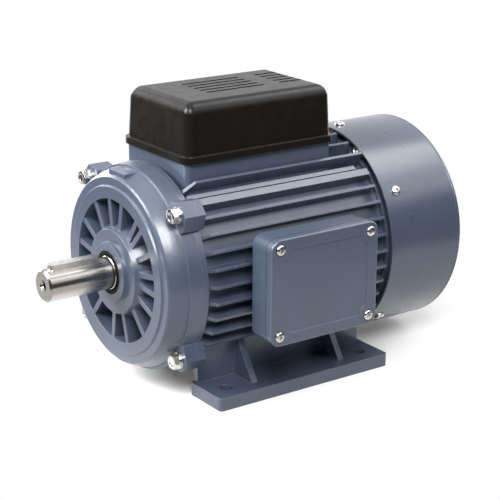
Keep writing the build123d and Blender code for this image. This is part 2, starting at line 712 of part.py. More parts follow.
# ---------------------------------------------------------------- drive-end shield
lug_face = FRAME_FRONT - SHIELD_LUG
with BuildPart() as drive_end_shield:
    spigot_r = BORE_R - SEAT_FIT
    bearing_r = DE_OUTER_R + SEAT_FIT
    inner_r = spigot_r - SPIGOT_WALL
    rim_root = SHIELD_FACE + RIM
    web_back = RECESS_BACK + RECESS_FLOOR
    with BuildSketch(AXIAL):
        with BuildLine():
            Polyline(
                (FRAME_FRONT + SPIGOT, inner_r),
                (FRAME_FRONT + SPIGOT, spigot_r),
                (FRAME_FRONT, spigot_r),
                (FRAME_FRONT, END_RING_R),
                (lug_face, END_RING_R - FLANGE_TAPER),
                (lug_face, DRUM_ROOT_R),
            )
            SagittaArc((lug_face, DRUM_ROOT_R), (rim_root + DRUM_EDGE, DRUM_TIP_R), -DRUM_BULGE)
            Polyline(
                (rim_root + DRUM_EDGE, DRUM_TIP_R),
                (rim_root, DRUM_TIP_R - DRUM_EDGE),
                (rim_root, RIM_R),
                (SHIELD_FACE, RIM_R - RIM / 2),
                (SHIELD_FACE, RECESS_R),
                (RECESS_BACK, RECESS_R - 1),
                (RECESS_BACK, HUB_R + 7),
                (SHIELD_FACE, HUB_R + 1),
                (HUB_FACE, HUB_R),
                (HUB_FACE, HUB_BOSS_R + 0.5),
                (BOSS_FACE, HUB_BOSS_R),
                (BOSS_FACE, SEAL_R),
                (SEAL_REAR, SEAL_R),
                (SEAL_REAR, SHAFT_R + 3),
                (DE_FRONT, SHAFT_R + 3),
                (DE_FRONT, bearing_r),
                (DE_REAR + 1, bearing_r),
                (DE_REAR + 1, HUB_R),
                (web_back, HUB_R + 3),
                (web_back, RECESS_R + DRUM_WALL),
                (SHIELD_FACE + 2 * DRUM_WALL, RECESS_R + DRUM_WALL),
                (SHIELD_FACE + 2 * DRUM_WALL, DRUM_TIP_R - DRUM_WALL),
                (web_back, DRUM_TIP_R - DRUM_WALL),
                (web_back + SPIGOT, inner_r),
                (FRAME_FRONT + SPIGOT, inner_r),
            )
        make_face()
    revolve(axis=SHAFT_AXIS)
    with BuildSketch(CROSS.offset(FRAME_FRONT)):
        lug_sections()
        Circle(END_RING_R - 3, mode=Mode.SUBTRACT)
    extrude(amount=-SHIELD_LUG)
    # Flat pad on top of the drum
    with BuildSketch(Plane.XY.offset(SHAFT_HEIGHT + TOP_PAD_RISE)):
        with Locations((lug_face - 1 - TOP_PAD_LENGTH / 2, TOP_PAD_OFFSET_Y)):
            Rectangle(TOP_PAD_LENGTH, TOP_PAD_WIDTH)
    extrude(amount=-DRUM_WALL)
    # Radial ribs across the recess
    with BuildSketch(CROSS.offset(SHIELD_FACE + RIB_SETBACK)):
        for rib_angle in RIB_ANGLES:
            with PolarLocations(HUB_R, 1, start_angle=180 - rib_angle):
                Rectangle(RECESS_R + 1 - HUB_R, RIB_THICKNESS, align=(Align.MIN, Align.CENTER))
    extrude(amount=RECESS_DEPTH - RIB_SETBACK + 1)
    # Bolt holes
    with BuildSketch(CROSS.offset(FRAME_FRONT)):
        with Locations(*LUG_CENTRES):
            Circle(M6_R + HOLE_FIT)
    extrude(amount=-SHIELD_LUG, mode=Mode.SUBTRACT)
finish(drive_end_shield.part, "drive_end_shield")

bolt_seat = lug_face - 2 * M6_WASHER
lug_shank = SHIELD_LUG + FRAME_LUG + 2 * M6_WASHER - 2
with BuildPart() as drive_end_bolts:
    with Locations(*facing_front(bolt_seat, LUG_CENTRES)):
        add(hex_screw(M6_FLATS, M6_HEAD, M6_R - THREAD_FIT, lug_shank))
finish(drive_end_bolts.part, "drive_end_bolts")

with BuildPart() as drive_end_washers:
    with Locations(*facing_front(lug_face, LUG_CENTRES)):
        add(washer(M6_WASHER_R, M6_R + HOLE_FIT, M6_WASHER))
finish(drive_end_washers.part, "drive_end_washers")

with BuildPart() as drive_end_lock_washers:
    with Locations(*facing_front(lug_face - M6_WASHER, LUG_CENTRES)):
        add(spring_washer(M6_FLATS / 2, M6_R + HOLE_FIT / 2, M6_WASHER))
finish(drive_end_lock_washers.part, "drive_end_lock_washers")

with BuildPart() as shaft_seal:
    lip_r = DE_BORE_R - SEAT_FIT + RUNNING_FIT
    add(
        turned(
            [
                (SEAL_FRONT, SEAL_R),
                (SEAL_REAR, SEAL_R),
                (SEAL_REAR, lip_r + 2.4),
                (SEAL_REAR - 1.6, lip_r + 2.0),
                (SEAL_FRONT + 2.6, lip_r),
                (SEAL_FRONT + 1.8, lip_r),
                (SEAL_FRONT + 0.8, lip_r + 1.2),
                (SEAL_FRONT, lip_r + 1.4),
            ]
        )
    )
finish(shaft_seal.part, "shaft_seal")


# ---------------------------------------------------------------- ball bearings
def race(front, width, wall_r, land_r, pitch_r):
    """Bearing ring from its wall radius to its land, with the raceway cut in the land."""
    middle = front + width / 2
    groove_r = BALL_R + GROOVE_GAP
    half = sqrt(groove_r**2 - LAND**2)
    bottom_r = pitch_r + groove_r if land_r > pitch_r else pitch_r - groove_r
    with BuildPart() as part:
        with BuildSketch(AXIAL):
            with BuildLine():
                Polyline(
                    (middle - half, land_r),
                    (front, land_r),
                    (front, wall_r),
                    (front + width, wall_r),
                    (front + width, land_r),
                    (middle + half, land_r),
                )
                ThreePointArc((middle + half, land_r), (middle, bottom_r), (middle - half, land_r))
            make_face()
        revolve(axis=SHAFT_AXIS)
    return part.part


def balls(middle, pitch_r, count):
    """Ring of bearing balls."""
    with BuildPart() as part:
        with Locations(CROSS.offset(middle)):
            with PolarLocations(pitch_r, count):
                Sphere(BALL_R)
    return part.part


def ball_cage(middle, pitch_r, count):
    """Crown cage: a ring beside the balls with a finger between each pair."""
    side = middle + BALL_R + HOLE_FIT
    with BuildPart() as part:
        add(ring(side, side + CAGE_THICKNESS, pitch_r + CAGE_HALF_HEIGHT, pitch_r - CAGE_HALF_HEIGHT))
        with BuildSketch(CROSS.offset(side + CAGE_THICKNESS / 2)):
            with PolarLocations(pitch_r, count, start_angle=180 / count):
                Rectangle(2 * CAGE_HALF_HEIGHT - 2 * HOLE_FIT, CAGE_FINGER)
        extrude(amount=-1.5 * BALL_R)
    return part.part


with BuildPart() as de_bearing_outer_ring:
    add(race(DE_FRONT, DE_WIDTH, DE_OUTER_R, DE_PITCH_R + LAND, DE_PITCH_R))
finish(de_bearing_outer_ring.part, "de_bearing_outer_ring")

with BuildPart() as de_bearing_inner_ring:
    add(race(DE_FRONT, DE_WIDTH, DE_BORE_R, DE_PITCH_R - LAND, DE_PITCH_R))
finish(de_bearing_inner_ring.part, "de_bearing_inner_ring")

with BuildPart() as de_bearing_balls:
    add(balls(DE_FRONT + DE_WIDTH / 2, DE_PITCH_R, DE_BALLS))
finish(de_bearing_balls.part, "de_bearing_balls")

with BuildPart() as de_bearing_cage:
    add(ball_cage(DE_FRONT + DE_WIDTH / 2, DE_PITCH_R, DE_BALLS))
finish(de_bearing_cage.part, "de_bearing_cage")

with BuildPart() as nde_bearing_outer_ring:
    add(race(NDE_FRONT, NDE_WIDTH, NDE_OUTER_R, NDE_PITCH_R + LAND, NDE_PITCH_R))
finish(nde_bearing_outer_ring.part, "nde_bearing_outer_ring")

with BuildPart() as nde_bearing_inner_ring:
    add(race(NDE_FRONT, NDE_WIDTH, NDE_BORE_R, NDE_PITCH_R - LAND, NDE_PITCH_R))
finish(nde_bearing_inner_ring.part, "nde_bearing_inner_ring")

with BuildPart() as nde_bearing_balls:
    add(balls(NDE_FRONT + NDE_WIDTH / 2, NDE_PITCH_R, NDE_BALLS))
finish(nde_bearing_balls.part, "nde_bearing_balls")

with BuildPart() as nde_bearing_cage:
    add(ball_cage(NDE_FRONT + NDE_WIDTH / 2, NDE_PITCH_R, NDE_BALLS))
finish(nde_bearing_cage.part, "nde_bearing_cage")

with BuildPart() as preload_washer:
    add(ring(NDE_REAR, NDE_REAR + PRELOAD_WASHER, NDE_OUTER_R - 0.5, NDE_OUTER_R - 4.5))
finish(preload_washer.part, "preload_washer")

# ---------------------------------------------------------------- fan-end shield
with BuildPart() as fan_end_shield:
    pocket_r = NDE_OUTER_R + SEAT_FIT
    rim_rear = FRAME_REAR + REAR_RIM
    web_rear = REAR_WEB_INNER + REAR_WEB
    add(
        turned(
            [
                (FRAME_REAR - SPIGOT, BORE_R - SEAT_FIT - SPIGOT_WALL),
                (FRAME_REAR - SPIGOT, BORE_R - SEAT_FIT),
                (FRAME_REAR, BORE_R - SEAT_FIT),
                (FRAME_REAR, REAR_RING_R),
                (rim_rear, REAR_RING_R),
                (rim_rear, REAR_RING_R - REAR_RIM_WALL),
                (web_rear, REAR_RING_R - REAR_RIM_WALL - 1),
                (web_rear, REAR_HUB_R + 4),
                (REAR_HUB_END, REAR_HUB_R),
                (REAR_HUB_END, NDE_BORE_R + 1),
                (NDE_REAR + PRELOAD_WASHER, NDE_BORE_R + 1),
                (NDE_REAR + PRELOAD_WASHER, pocket_r),
                (REAR_WEB_INNER, pocket_r),
                (REAR_WEB_INNER, BORE_R - SEAT_FIT - SPIGOT_WALL),
            ]
        )
    )
    # Stiffening ribs behind the web
    with BuildSketch(AXIAL):
        with BuildLine():
            Polyline(
                (web_rear - 1, REAR_HUB_R),
                (REAR_HUB_END - 6, REAR_HUB_R),
                (rim_rear - 2, REAR_RING_R - REAR_RIM_WALL + 1),
                (web_rear - 1, REAR_RING_R - REAR_RIM_WALL + 1),
                close=True,
            )
        make_face()
    rib = extrude(amount=REAR_RIB / 2, both=True, mode=Mode.PRIVATE)
    for n in range(REAR_RIB_COUNT):
        add(rib.rotate(SHAFT_AXIS, n * 360 / REAR_RIB_COUNT))
    # Bolt ears and cowl bosses
    with BuildSketch(CROSS.offset(FRAME_REAR)):
        with Locations(*REAR_BOLT_CENTRES):
            Circle(REAR_EAR_R)
    extrude(amount=SHIELD_EAR)
    with BuildSketch(CROSS.offset(FRAME_REAR)):
        with Locations(*REAR_BOLT_CENTRES):
            Circle(M5_R)
    extrude(amount=SHIELD_EAR, mode=Mode.SUBTRACT)
    boss_r = sqrt((COWL_R - COWL_SHEET - RUNNING_FIT) ** 2 - COWL_BOSS_R**2)
    with Locations(*cowl_seats(boss_r)):
        Cylinder(COWL_BOSS_R, M4_THREAD + 1, align=TIP)
        Cylinder(M4_R, M4_THREAD, align=TIP, mode=Mode.SUBTRACT)
    # Standoffs of the switch board
    with BuildSketch(CROSS.offset(REAR_WEB_INNER)):
        with Locations(*SWITCH_SCREWS):
            Circle(STANDOFF_R)
    extrude(amount=-SWITCH_STANDOFF)
    with BuildSketch(CROSS.offset(REAR_WEB_INNER - SWITCH_STANDOFF)):
        with Locations(*SWITCH_SCREWS):
            Circle(M3_R)
    extrude(amount=SWITCH_STANDOFF + M3_THREAD, mode=Mode.SUBTRACT)
finish(fan_end_shield.part, "fan_end_shield")

ear_front = FRAME_REAR - FRAME_EAR
rear_shank = FRAME_EAR + SHIELD_EAR + M5_WASHER - 1
with BuildPart() as fan_end_bolts:
    with Locations(*facing_front(ear_front - M5_WASHER, REAR_BOLT_CENTRES)):
        add(hex_screw(M5_FLATS, M5_HEAD, M5_R - THREAD_FIT, rear_shank))
finish(fan_end_bolts.part, "fan_end_bolts")

with BuildPart() as fan_end_washers:
    with Locations(*facing_front(ear_front, REAR_BOLT_CENTRES)):
        add(spring_washer(M5_WASHER_R - 0.6, M5_R + HOLE_FIT / 2, M5_WASHER))
finish(fan_end_washers.part, "fan_end_washers")

# ---------------------------------------------------------------- fan cowl
with BuildPart() as fan_cowl:
    inner = COWL_R - COWL_SHEET
    edge_inner = COWL_EDGE_R - COWL_SHEET
    edge_x = COWL_REAR - COWL_EDGE_R
    bead_x = edge_x - 2 * COWL_BEAD
    with BuildSketch(AXIAL):
        with BuildLine():
            Polyline(
                (COWL_REAR - COWL_SHEET, inner - edge_inner),
                (COWL_REAR - COWL_SHEET, 0),
                (COWL_REAR, 0),
                (COWL_REAR, COWL_R - COWL_EDGE_R),
            )
            outer_edge = RadiusArc((COWL_REAR, COWL_R - COWL_EDGE_R), (edge_x, COWL_R), COWL_EDGE_R)
            Polyline(
                outer_edge @ 1,
                (bead_x + COWL_BEAD, COWL_R),
                (bead_x, COWL_R - COWL_BEAD),
                (bead_x - COWL_BEAD, COWL_R),
                (COWL_FRONT, COWL_R),
                (COWL_FRONT, inner),
                (edge_x, inner),
            )
            RadiusArc((edge_x, inner), (COWL_REAR - COWL_SHEET, inner - edge_inner), -edge_inner)
        make_face()
    revolve(axis=SHAFT_AXIS)
    # Ring slots of the air inlet, crossed by spokes
    with BuildSketch(CROSS.offset(COWL_REAR)):
        for n in reversed(range(GRILLE_RINGS)):
            slot_r = GRILLE_FIRST_R + n * GRILLE_PITCH
            Circle(slot_r + GRILLE_SLOT / 2)
            Circle(slot_r - GRILLE_SLOT / 2, mode=Mode.SUBTRACT)
        with PolarLocations(0, GRILLE_SPOKES):
            Rectangle(COWL_R, GRILLE_SPOKE, align=(Align.MIN, Align.CENTER), mode=Mode.SUBTRACT)
    extrude(amount=-COWL_SHEET - 1, mode=Mode.SUBTRACT)
    # Screw holes
    with Locations(*cowl_seats(COWL_R)):
        Cylinder(M4_R + HOLE_FIT, 4 * COWL_SHEET, mode=Mode.SUBTRACT)
finish(fan_cowl.part, "fan_cowl")

with BuildPart() as cowl_screws:
    with Locations(*cowl_seats(COWL_R)):
        add(pan_screw(M4_HEAD_R, M4_HEAD, M4_R - THREAD_FIT, COWL_SHEET + M4_THREAD - 1))
finish(cowl_screws.part, "cowl_screws")

# ---------------------------------------------------------------- capacitor cover
with BuildPart() as capacitor_cover:
    lip_top = COVER_BASE + COVER_LIP_HEIGHT
    with BuildSketch(Plane.XY.offset(lip_top)):
        with Locations((PLINTH_MIDDLE, 0)):
            RectangleRounded(COVER_LENGTH, COVER_WIDTH, COVER_CORNER_R)
    extrude(amount=COVER_TOP - lip_top, taper=COVER_DRAFT)
    fillet(capacitor_cover.faces().sort_by(Axis.Z)[-1].edges(), COVER_TOP_R)
    with BuildSketch(Plane.XY.offset(COVER_BASE)):
        with Locations((PLINTH_MIDDLE, 0)):
            RectangleRounded(
                COVER_LENGTH + 2 * COVER_LIP, COVER_WIDTH + 2 * COVER_LIP, COVER_CORNER_R + COVER_LIP
            )
    extrude(amount=COVER_LIP_HEIGHT)
    with BuildSketch(Plane.XY.offset(COVER_BASE)):
        with Locations((PLINTH_MIDDLE, 0)):
            RectangleRounded(
                COVER_LENGTH - 2 * COVER_WALL, COVER_WIDTH - 2 * COVER_WALL, COVER_CORNER_R - COVER_WALL
            )
    extrude(amount=COVER_TOP - COVER_WALL - COVER_BASE, taper=COVER_DRAFT, mode=Mode.SUBTRACT)
    ceiling = capacitor_cover.faces().filter_by(Plane.XY).sort_by(Axis.Z)[-2]
    fillet(ceiling.edges(), COVER_TOP_R - COVER_WALL)
    # Vent slots through the top, in two groups
    with BuildSketch(Plane.XY.offset(COVER_TOP)):
        for start, length in zip(VENT_STARTS, VENT_LENGTHS):
            with Locations((COVER_FRONT + start + length / 2, VENT_OFFSET_Y)):
                with GridLocations(length, VENT_PITCH, 1, VENT_COUNT):
                    Rectangle(length, VENT_WIDTH)
    extrude(amount=-2 * COVER_WALL, mode=Mode.SUBTRACT)
    # Sunk seats and holes of the two screws in the rear wall
    with Locations(*cover_screw_seats(COVER_SEAT)):
        Cylinder(M4_HEAD_R + HOLE_FIT, 2 * COVER_LIP, align=BASE, mode=Mode.SUBTRACT)
        Cylinder(M4_R + HOLE_FIT, 4 * COVER_WALL, mode=Mode.SUBTRACT)
finish(capacitor_cover.part, "capacitor_cover")

with BuildPart() as cover_screws:
    with Locations(*cover_screw_seats(COVER_SEAT)):
        add(pan_screw(M4_HEAD_R, M4_HEAD, M4_R - THREAD_FIT, COVER_SEAT - POST_REAR + M4_THREAD - 1))
finish(cover_screws.part, "cover_screws")

with BuildPart() as cover_gasket:
    with BuildSketch(Plane.XY.offset(PLINTH_TOP)):
        with Locations((PLINTH_MIDDLE, 0)):
            RectangleRounded(PLINTH_LENGTH, PLINTH_WIDTH, PLINTH_CORNER_R)
            Rectangle(PLINTH_LENGTH - 2 * PLINTH_WALL, PLINTH_WIDTH - 2 * PLINTH_WALL, mode=Mode.SUBTRACT)
    extrude(amount=COVER_GASKET)
finish(cover_gasket.part, "cover_gasket")

# ---------------------------------------------------------------- capacitors
def capacitor(radius, length, y):
    """Capacitor can lying along X, its insulated lid and two tabs at the rear."""
    thickness, width, reach = CAP_TAB
    with BuildPart() as part:
        with BuildSketch(Plane.YZ.offset(CAP_REAR - length)):
            with Locations((y, CAP_Z)):
                Circle(radius)
        extrude(amount=length - CAP_LID)
        with BuildSketch(Plane.YZ.offset(CAP_REAR - CAP_LID)):
            with Locations((y, CAP_Z)):
                Circle(radius - CAP_LID_STEP)
        extrude(amount=CAP_LID)
        with BuildSketch(Plane.YZ.offset(CAP_REAR)):
            with Locations((y, CAP_Z)):
                with GridLocations(CAP_TAB_PITCH, width, 2, 1):
                    Rectangle(thickness, width)
        extrude(amount=reach)
    return part.part


with BuildPart() as start_capacitor:
    add(capacitor(START_CAP_R, START_CAP_LENGTH, -CAP_SPACING / 2))
finish(start_capacitor.part, "start_capacitor")

with BuildPart() as run_capacitor:
    add(capacitor(RUN_CAP_R, RUN_CAP_LENGTH, CAP_SPACING / 2))
finish(run_capacitor.part, "run_capacitor")

with BuildPart() as capacitor_cradles:
    for saddle_x in (CRADLE_X - CRADLE_SPACING / 2, CRADLE_X + CRADLE_SPACING / 2):
        with BuildSketch(Plane.YZ.offset(saddle_x - CRADLE_WIDTH / 2)):
            with Locations((0, POCKET_FLOOR + CRADLE_RISE / 2)):
                Rectangle(PLINTH_WIDTH - 2 * PLINTH_WALL - 2 * HOLE_FIT, CRADLE_RISE)
            with Locations((-CAP_SPACING / 2, CAP_Z)):
                Circle(START_CAP_R + CAP_CLEARANCE, mode=Mode.SUBTRACT)
            with Locations((CAP_SPACING / 2, CAP_Z)):
                Circle(RUN_CAP_R + CAP_CLEARANCE, mode=Mode.SUBTRACT)
        extrude(amount=CRADLE_WIDTH)
finish(capacitor_cradles.part, "capacitor_cradles")

# ---------------------------------------------------------------- terminal box
with BuildPart() as terminal_box_gasket:
    with BuildSketch(box_plane(PAD_FACE)):
        RectangleRounded(PAD_WIDTH, PAD_HEIGHT, PAD_CORNER_R)
        with Locations((0, -WINDOW_DROP)):
            Circle(WINDOW_R, mode=Mode.SUBTRACT)
        box_holes(2 * BOX_SCREW_X, 2 * BOX_SCREW_Z, M4_R + HOLE_FIT, Mode.SUBTRACT)
    extrude(amount=BOX_GASKET)
finish(terminal_box_gasket.part, "terminal_box_gasket")

with BuildPart() as terminal_box:
    narrowing = 2 * BOX_DEPTH * tan(radians(BOX_DRAFT))
    entry_face = BOX_HEIGHT / 2 + ENTRY_PROUD
    with BuildSketch(box_plane(BOX_MOUTH)):
        RectangleRounded(BOX_WIDTH, BOX_HEIGHT, BOX_CORNER_R)
    extrude(amount=-BOX_DEPTH, taper=BOX_DRAFT)
    # Flat pad of the cable entry on the underside
    with BuildSketch(box_plane(BOX_BACK)):
        with Locations((ENTRY_OFFSET_X, BOX_WALL - entry_face)):
            Rectangle(ENTRY_PAD, 2 * BOX_WALL)
    extrude(amount=BOX_DEPTH)
    # Hollow, leaving the corner bosses and the metal round the entry's thread
    with BuildSketch(box_plane(BOX_INSIDE)):
        RectangleRounded(
            BOX_WIDTH - narrowing - 2 * BOX_WALL, BOX_HEIGHT - narrowing - 2 * BOX_WALL, BOX_CORNER_R / 2
        )
        box_holes(2 * LID_SCREW_X, 2 * LID_SCREW_Z, LID_BOSS_R, Mode.SUBTRACT)
        with Locations((ENTRY_OFFSET_X, ENTRY_LENGTH / 2 - entry_face)):
            Rectangle(ENTRY_PAD, ENTRY_LENGTH, mode=Mode.SUBTRACT)
    extrude(amount=BOX_DEPTH, mode=Mode.SUBTRACT)
    # Tapped holes of the lid, wire window and fixing holes of the floor
    with BuildSketch(box_plane(BOX_MOUTH)):
        box_holes(2 * LID_SCREW_X, 2 * LID_SCREW_Z, M4_R)
    extrude(amount=-M4_THREAD - 2, mode=Mode.SUBTRACT)
    with BuildSketch(box_plane(BOX_BACK)):
        with Locations((0, -WINDOW_DROP)):
            Circle(WINDOW_R)
        box_holes(2 * BOX_SCREW_X, 2 * BOX_SCREW_Z, M4_R + HOLE_FIT)
    extrude(amount=BOX_FLOOR, mode=Mode.SUBTRACT)
    # Tapped holes of the board and of the earth screw
    with BuildSketch(box_plane(BOX_INSIDE)):
        with Locations((0, BOARD_RISE)):
            with GridLocations(BOARD_SCREW_PITCH, 0, 2, 1):
                Circle(M3_R)
        with Locations(EARTH_SCREW):
            Circle(M4_R)
    extrude(amount=0.5 - BOX_FLOOR, mode=Mode.SUBTRACT)
    # Threaded cable entry
    with Locations(seat(BOX_X + ENTRY_OFFSET_X, -BOX_BACK - BOX_DEPTH / 2, BOX_Z - entry_face, (0, 0, -1))):
        Cylinder(ENTRY_R, 2 * ENTRY_LENGTH + 1, mode=Mode.SUBTRACT)
finish(terminal_box.part, "terminal_box")

with BuildPart() as terminal_box_screws:
    for x in (-BOX_SCREW_X, BOX_SCREW_X):
        for z in (-BOX_SCREW_Z, BOX_SCREW_Z):
            with Locations(seat(BOX_X + x, -BOX_INSIDE, BOX_Z + z, (0, -1, 0))):
                add(pan_screw(M4_HEAD_R, M4_HEAD, M4_R - THREAD_FIT, BOX_FLOOR + BOX_GASKET + M4_THREAD - 1))
finish(terminal_box_screws.part, "terminal_box_screws")

with BuildPart() as lid_gasket:
    with BuildSketch(box_plane(BOX_MOUTH)):
        RectangleRounded(BOX_WIDTH, BOX_HEIGHT, BOX_CORNER_R)
        RectangleRounded(
            BOX_WIDTH - 2 * BOX_WALL, BOX_HEIGHT - 2 * BOX_WALL, BOX_CORNER_R / 2, mode=Mode.SUBTRACT
        )
        box_holes(2 * LID_SCREW_X, 2 * LID_SCREW_Z, LID_BOSS_R)
        box_holes(2 * LID_SCREW_X, 2 * LID_SCREW_Z, M4_R + HOLE_FIT, Mode.SUBTRACT)
    extrude(amount=LID_GASKET)
finish(lid_gasket.part, "lid_gasket")

with BuildPart() as terminal_box_lid:
    with BuildSketch(box_plane(LID_BACK)):
        RectangleRounded(BOX_WIDTH, BOX_HEIGHT, BOX_CORNER_R)
    extrude(amount=LID_THICKNESS)
    fillet(terminal_box_lid.faces().sort_by(Axis.Y)[0].edges(), LID_EDGE_R)
    # Sunk panel, stepping round the screws
    with BuildSketch(box_plane(LID_FACE)):
        Rectangle(BOX_WIDTH - 2 * LID_BORDER, BOX_HEIGHT - 2 * LID_BORDER)
        box_holes(2 * LID_SCREW_X, 2 * LID_SCREW_Z, LID_BORDER, Mode.SUBTRACT)
    extrude(amount=-LID_PANEL_STEP, mode=Mode.SUBTRACT)
    # Hollow back with bosses at the screws
    with BuildSketch(box_plane(LID_BACK)):
        RectangleRounded(BOX_WIDTH - 2 * BOX_WALL, BOX_HEIGHT - 2 * BOX_WALL, BOX_CORNER_R / 2)
        box_holes(2 * LID_SCREW_X, 2 * LID_SCREW_Z, LID_BOSS_R, Mode.SUBTRACT)
    extrude(amount=LID_THICKNESS - LID_WALL - LID_PANEL_STEP, mode=Mode.SUBTRACT)
    # Screw seats and holes
    with BuildSketch(box_plane(LID_FACE)):
        box_holes(2 * LID_SCREW_X, 2 * LID_SCREW_Z, M4_HEAD_R + HOLE_FIT)
    extrude(amount=-LID_SEAT, mode=Mode.SUBTRACT)
    with BuildSketch(box_plane(LID_BACK)):
        box_holes(2 * LID_SCREW_X, 2 * LID_SCREW_Z, M4_R + HOLE_FIT)
    extrude(amount=LID_THICKNESS, mode=Mode.SUBTRACT)
finish(terminal_box_lid.part, "terminal_box_lid")

with BuildPart() as lid_screws:
    for x in (-LID_SCREW_X, LID_SCREW_X):
        for z in (-LID_SCREW_Z, LID_SCREW_Z):
            with Locations(seat(BOX_X + x, -LID_SEAT_FACE, BOX_Z + z, (0, -1, 0))):
                add(pan_screw(M4_HEAD_R, M4_HEAD, M4_R - THREAD_FIT, LID_SEAT_FACE - BOX_MOUTH + M4_THREAD))
finish(lid_screws.part, "lid_screws")

with BuildPart() as terminal_board:
    with BuildSketch(box_plane(BOX_INSIDE)):
        with Locations((0, BOARD_RISE)):
            RectangleRounded(BOARD_WIDTH, BOARD_HEIGHT, 2)
            with GridLocations(BOARD_SCREW_PITCH, 0, 2, 1):
                Circle(M3_R + HOLE_FIT, mode=Mode.SUBTRACT)
            with GridLocations(STUD_PITCH, STUD_ROW, 3, 2):
                Circle(STUD_R, mode=Mode.SUBTRACT)
    extrude(amount=BOARD_THICKNESS)
    # Barriers between the stud columns
    with BuildSketch(box_plane(BOX_INSIDE + BOARD_THICKNESS)):
        with Locations((0, BOARD_RISE)):
            with GridLocations(STUD_PITCH, 0, 2, 1):
                Rectangle(BARRIER, BOARD_HEIGHT)
    extrude(amount=BARRIER_RISE)
finish(terminal_board.part, "terminal_board")

with BuildPart() as terminal_studs:
    with BuildSketch(box_plane(BOX_INSIDE)):
        with Locations((0, BOARD_RISE)):
            with GridLocations(STUD_PITCH, STUD_ROW, 3, 2):
                Circle(STUD_R - THREAD_FIT)
    extrude(amount=STUD_LENGTH)
finish(terminal_studs.part, "terminal_studs")

with BuildPart() as terminal_links:
    # One link down each outer column, setting the direction of rotation
    with BuildSketch(box_plane(LINK_BACK)):
        for column in (-STUD_PITCH, STUD_PITCH):
            with Locations((column, BOARD_RISE)):
                SlotCenterToCenter(STUD_ROW, LINK_WIDTH, rotation=90)
                with GridLocations(0, STUD_ROW, 1, 2):
                    Circle(STUD_R + THREAD_FIT, mode=Mode.SUBTRACT)
    extrude(amount=LINK_THICKNESS)
finish(terminal_links.part, "terminal_links")

with BuildPart() as terminal_nuts:
    for column, back in ((-STUD_PITCH, LINK_THICKNESS), (0, 0), (STUD_PITCH, LINK_THICKNESS)):
        with BuildSketch(box_plane(LINK_BACK + back)):
            with Locations((column, BOARD_RISE)):
                with GridLocations(0, STUD_ROW, 1, 2):
                    RegularPolygon(NUT_FLATS / 2, 6, major_radius=False)
                    Circle(STUD_R, mode=Mode.SUBTRACT)
        extrude(amount=NUT_HEIGHT)
finish(terminal_nuts.part, "terminal_nuts")

with BuildPart() as board_screws:
    for x in (-BOARD_SCREW_PITCH / 2, BOARD_SCREW_PITCH / 2):
        with Locations(seat(BOX_X + x, -LINK_BACK, BOX_Z + BOARD_RISE, (0, -1, 0))):
            add(pan_screw(M3_HEAD_R, M3_HEAD, M3_R - THREAD_FIT, BOARD_THICKNESS + BOX_FLOOR - 1))
finish(board_screws.part, "board_screws")

with BuildPart() as earth_screw:
    with Locations(seat(BOX_X + EARTH_SCREW[0], -BOX_INSIDE, BOX_Z + EARTH_SCREW[1], (0, -1, 0))):
        add(pan_screw(M4_HEAD_R, M4_HEAD, M4_R - THREAD_FIT, BOX_FLOOR - 1))
finish(earth_screw.part, "earth_screw")

# ---------------------------------------------------------------- stator
def tapered_slots(count, tooth, bottom_r, top_r, margin, mode=Mode.ADD):
    """Slots between teeth of even width, each side of a slot in by a margin."""
    inner_r = bottom_r + margin
    outer_r = top_r - margin
    inner_half = inner_r * sin(radians(180 / count)) - tooth / 2 - margin
    outer_half = outer_r * sin(radians(180 / count)) - tooth / 2 - margin
    with PolarLocations(0, count):
        Polygon(
            (inner_r, -inner_half),
            (outer_r, -outer_half),
            (outer_r, outer_half),
            (inner_r, inner_half),
            align=None,
            mode=mode,
        )


with BuildPart() as stator_core:
    with BuildSketch(CROSS.offset(CORE_FRONT)):
        Circle(BORE_R - SEAT_FIT)
        Circle(STATOR_BORE_R, mode=Mode.SUBTRACT)
        tapered_slots(SLOT_COUNT, TOOTH_WIDTH, SLOT_BOTTOM_R, SLOT_TOP_R, 0, Mode.SUBTRACT)
        with PolarLocations(STATOR_BORE_R - 1, SLOT_COUNT):
            Rectangle(
                SLOT_BOTTOM_R - STATOR_BORE_R + 2,
                SLOT_MOUTH,
                align=(Align.MIN, Align.CENTER),
                mode=Mode.SUBTRACT,
            )
    extrude(amount=CORE_LENGTH)
finish(stator_core.part, "stator_core")

with BuildPart() as stator_windings:
    with BuildSketch(CROSS.offset(CORE_FRONT - 1)):
        tapered_slots(SLOT_COUNT, TOOTH_WIDTH, SLOT_BOTTOM_R, SLOT_TOP_R, SLOT_LINER)
    extrude(amount=CORE_LENGTH + 2)
    for side, face in ((-1, CORE_FRONT - 1), (1, CORE_REAR + 1)):
        far = face + side * (WINDING_OVERHANG - 1)
        edge = side * WINDING_EDGE
        add(
            turned(
                [
                    (face, WINDING_INNER_R),
                    (far - edge, WINDING_INNER_R),
                    (far, WINDING_INNER_R + WINDING_EDGE),
                    (far, WINDING_OUTER_R - WINDING_EDGE),
                    (far - edge, WINDING_OUTER_R),
                    (face + edge, WINDING_OUTER_R),
                    (face, WINDING_OUTER_R - WINDING_EDGE),
                ]
            )
        )
finish(stator_windings.part, "stator_windings")

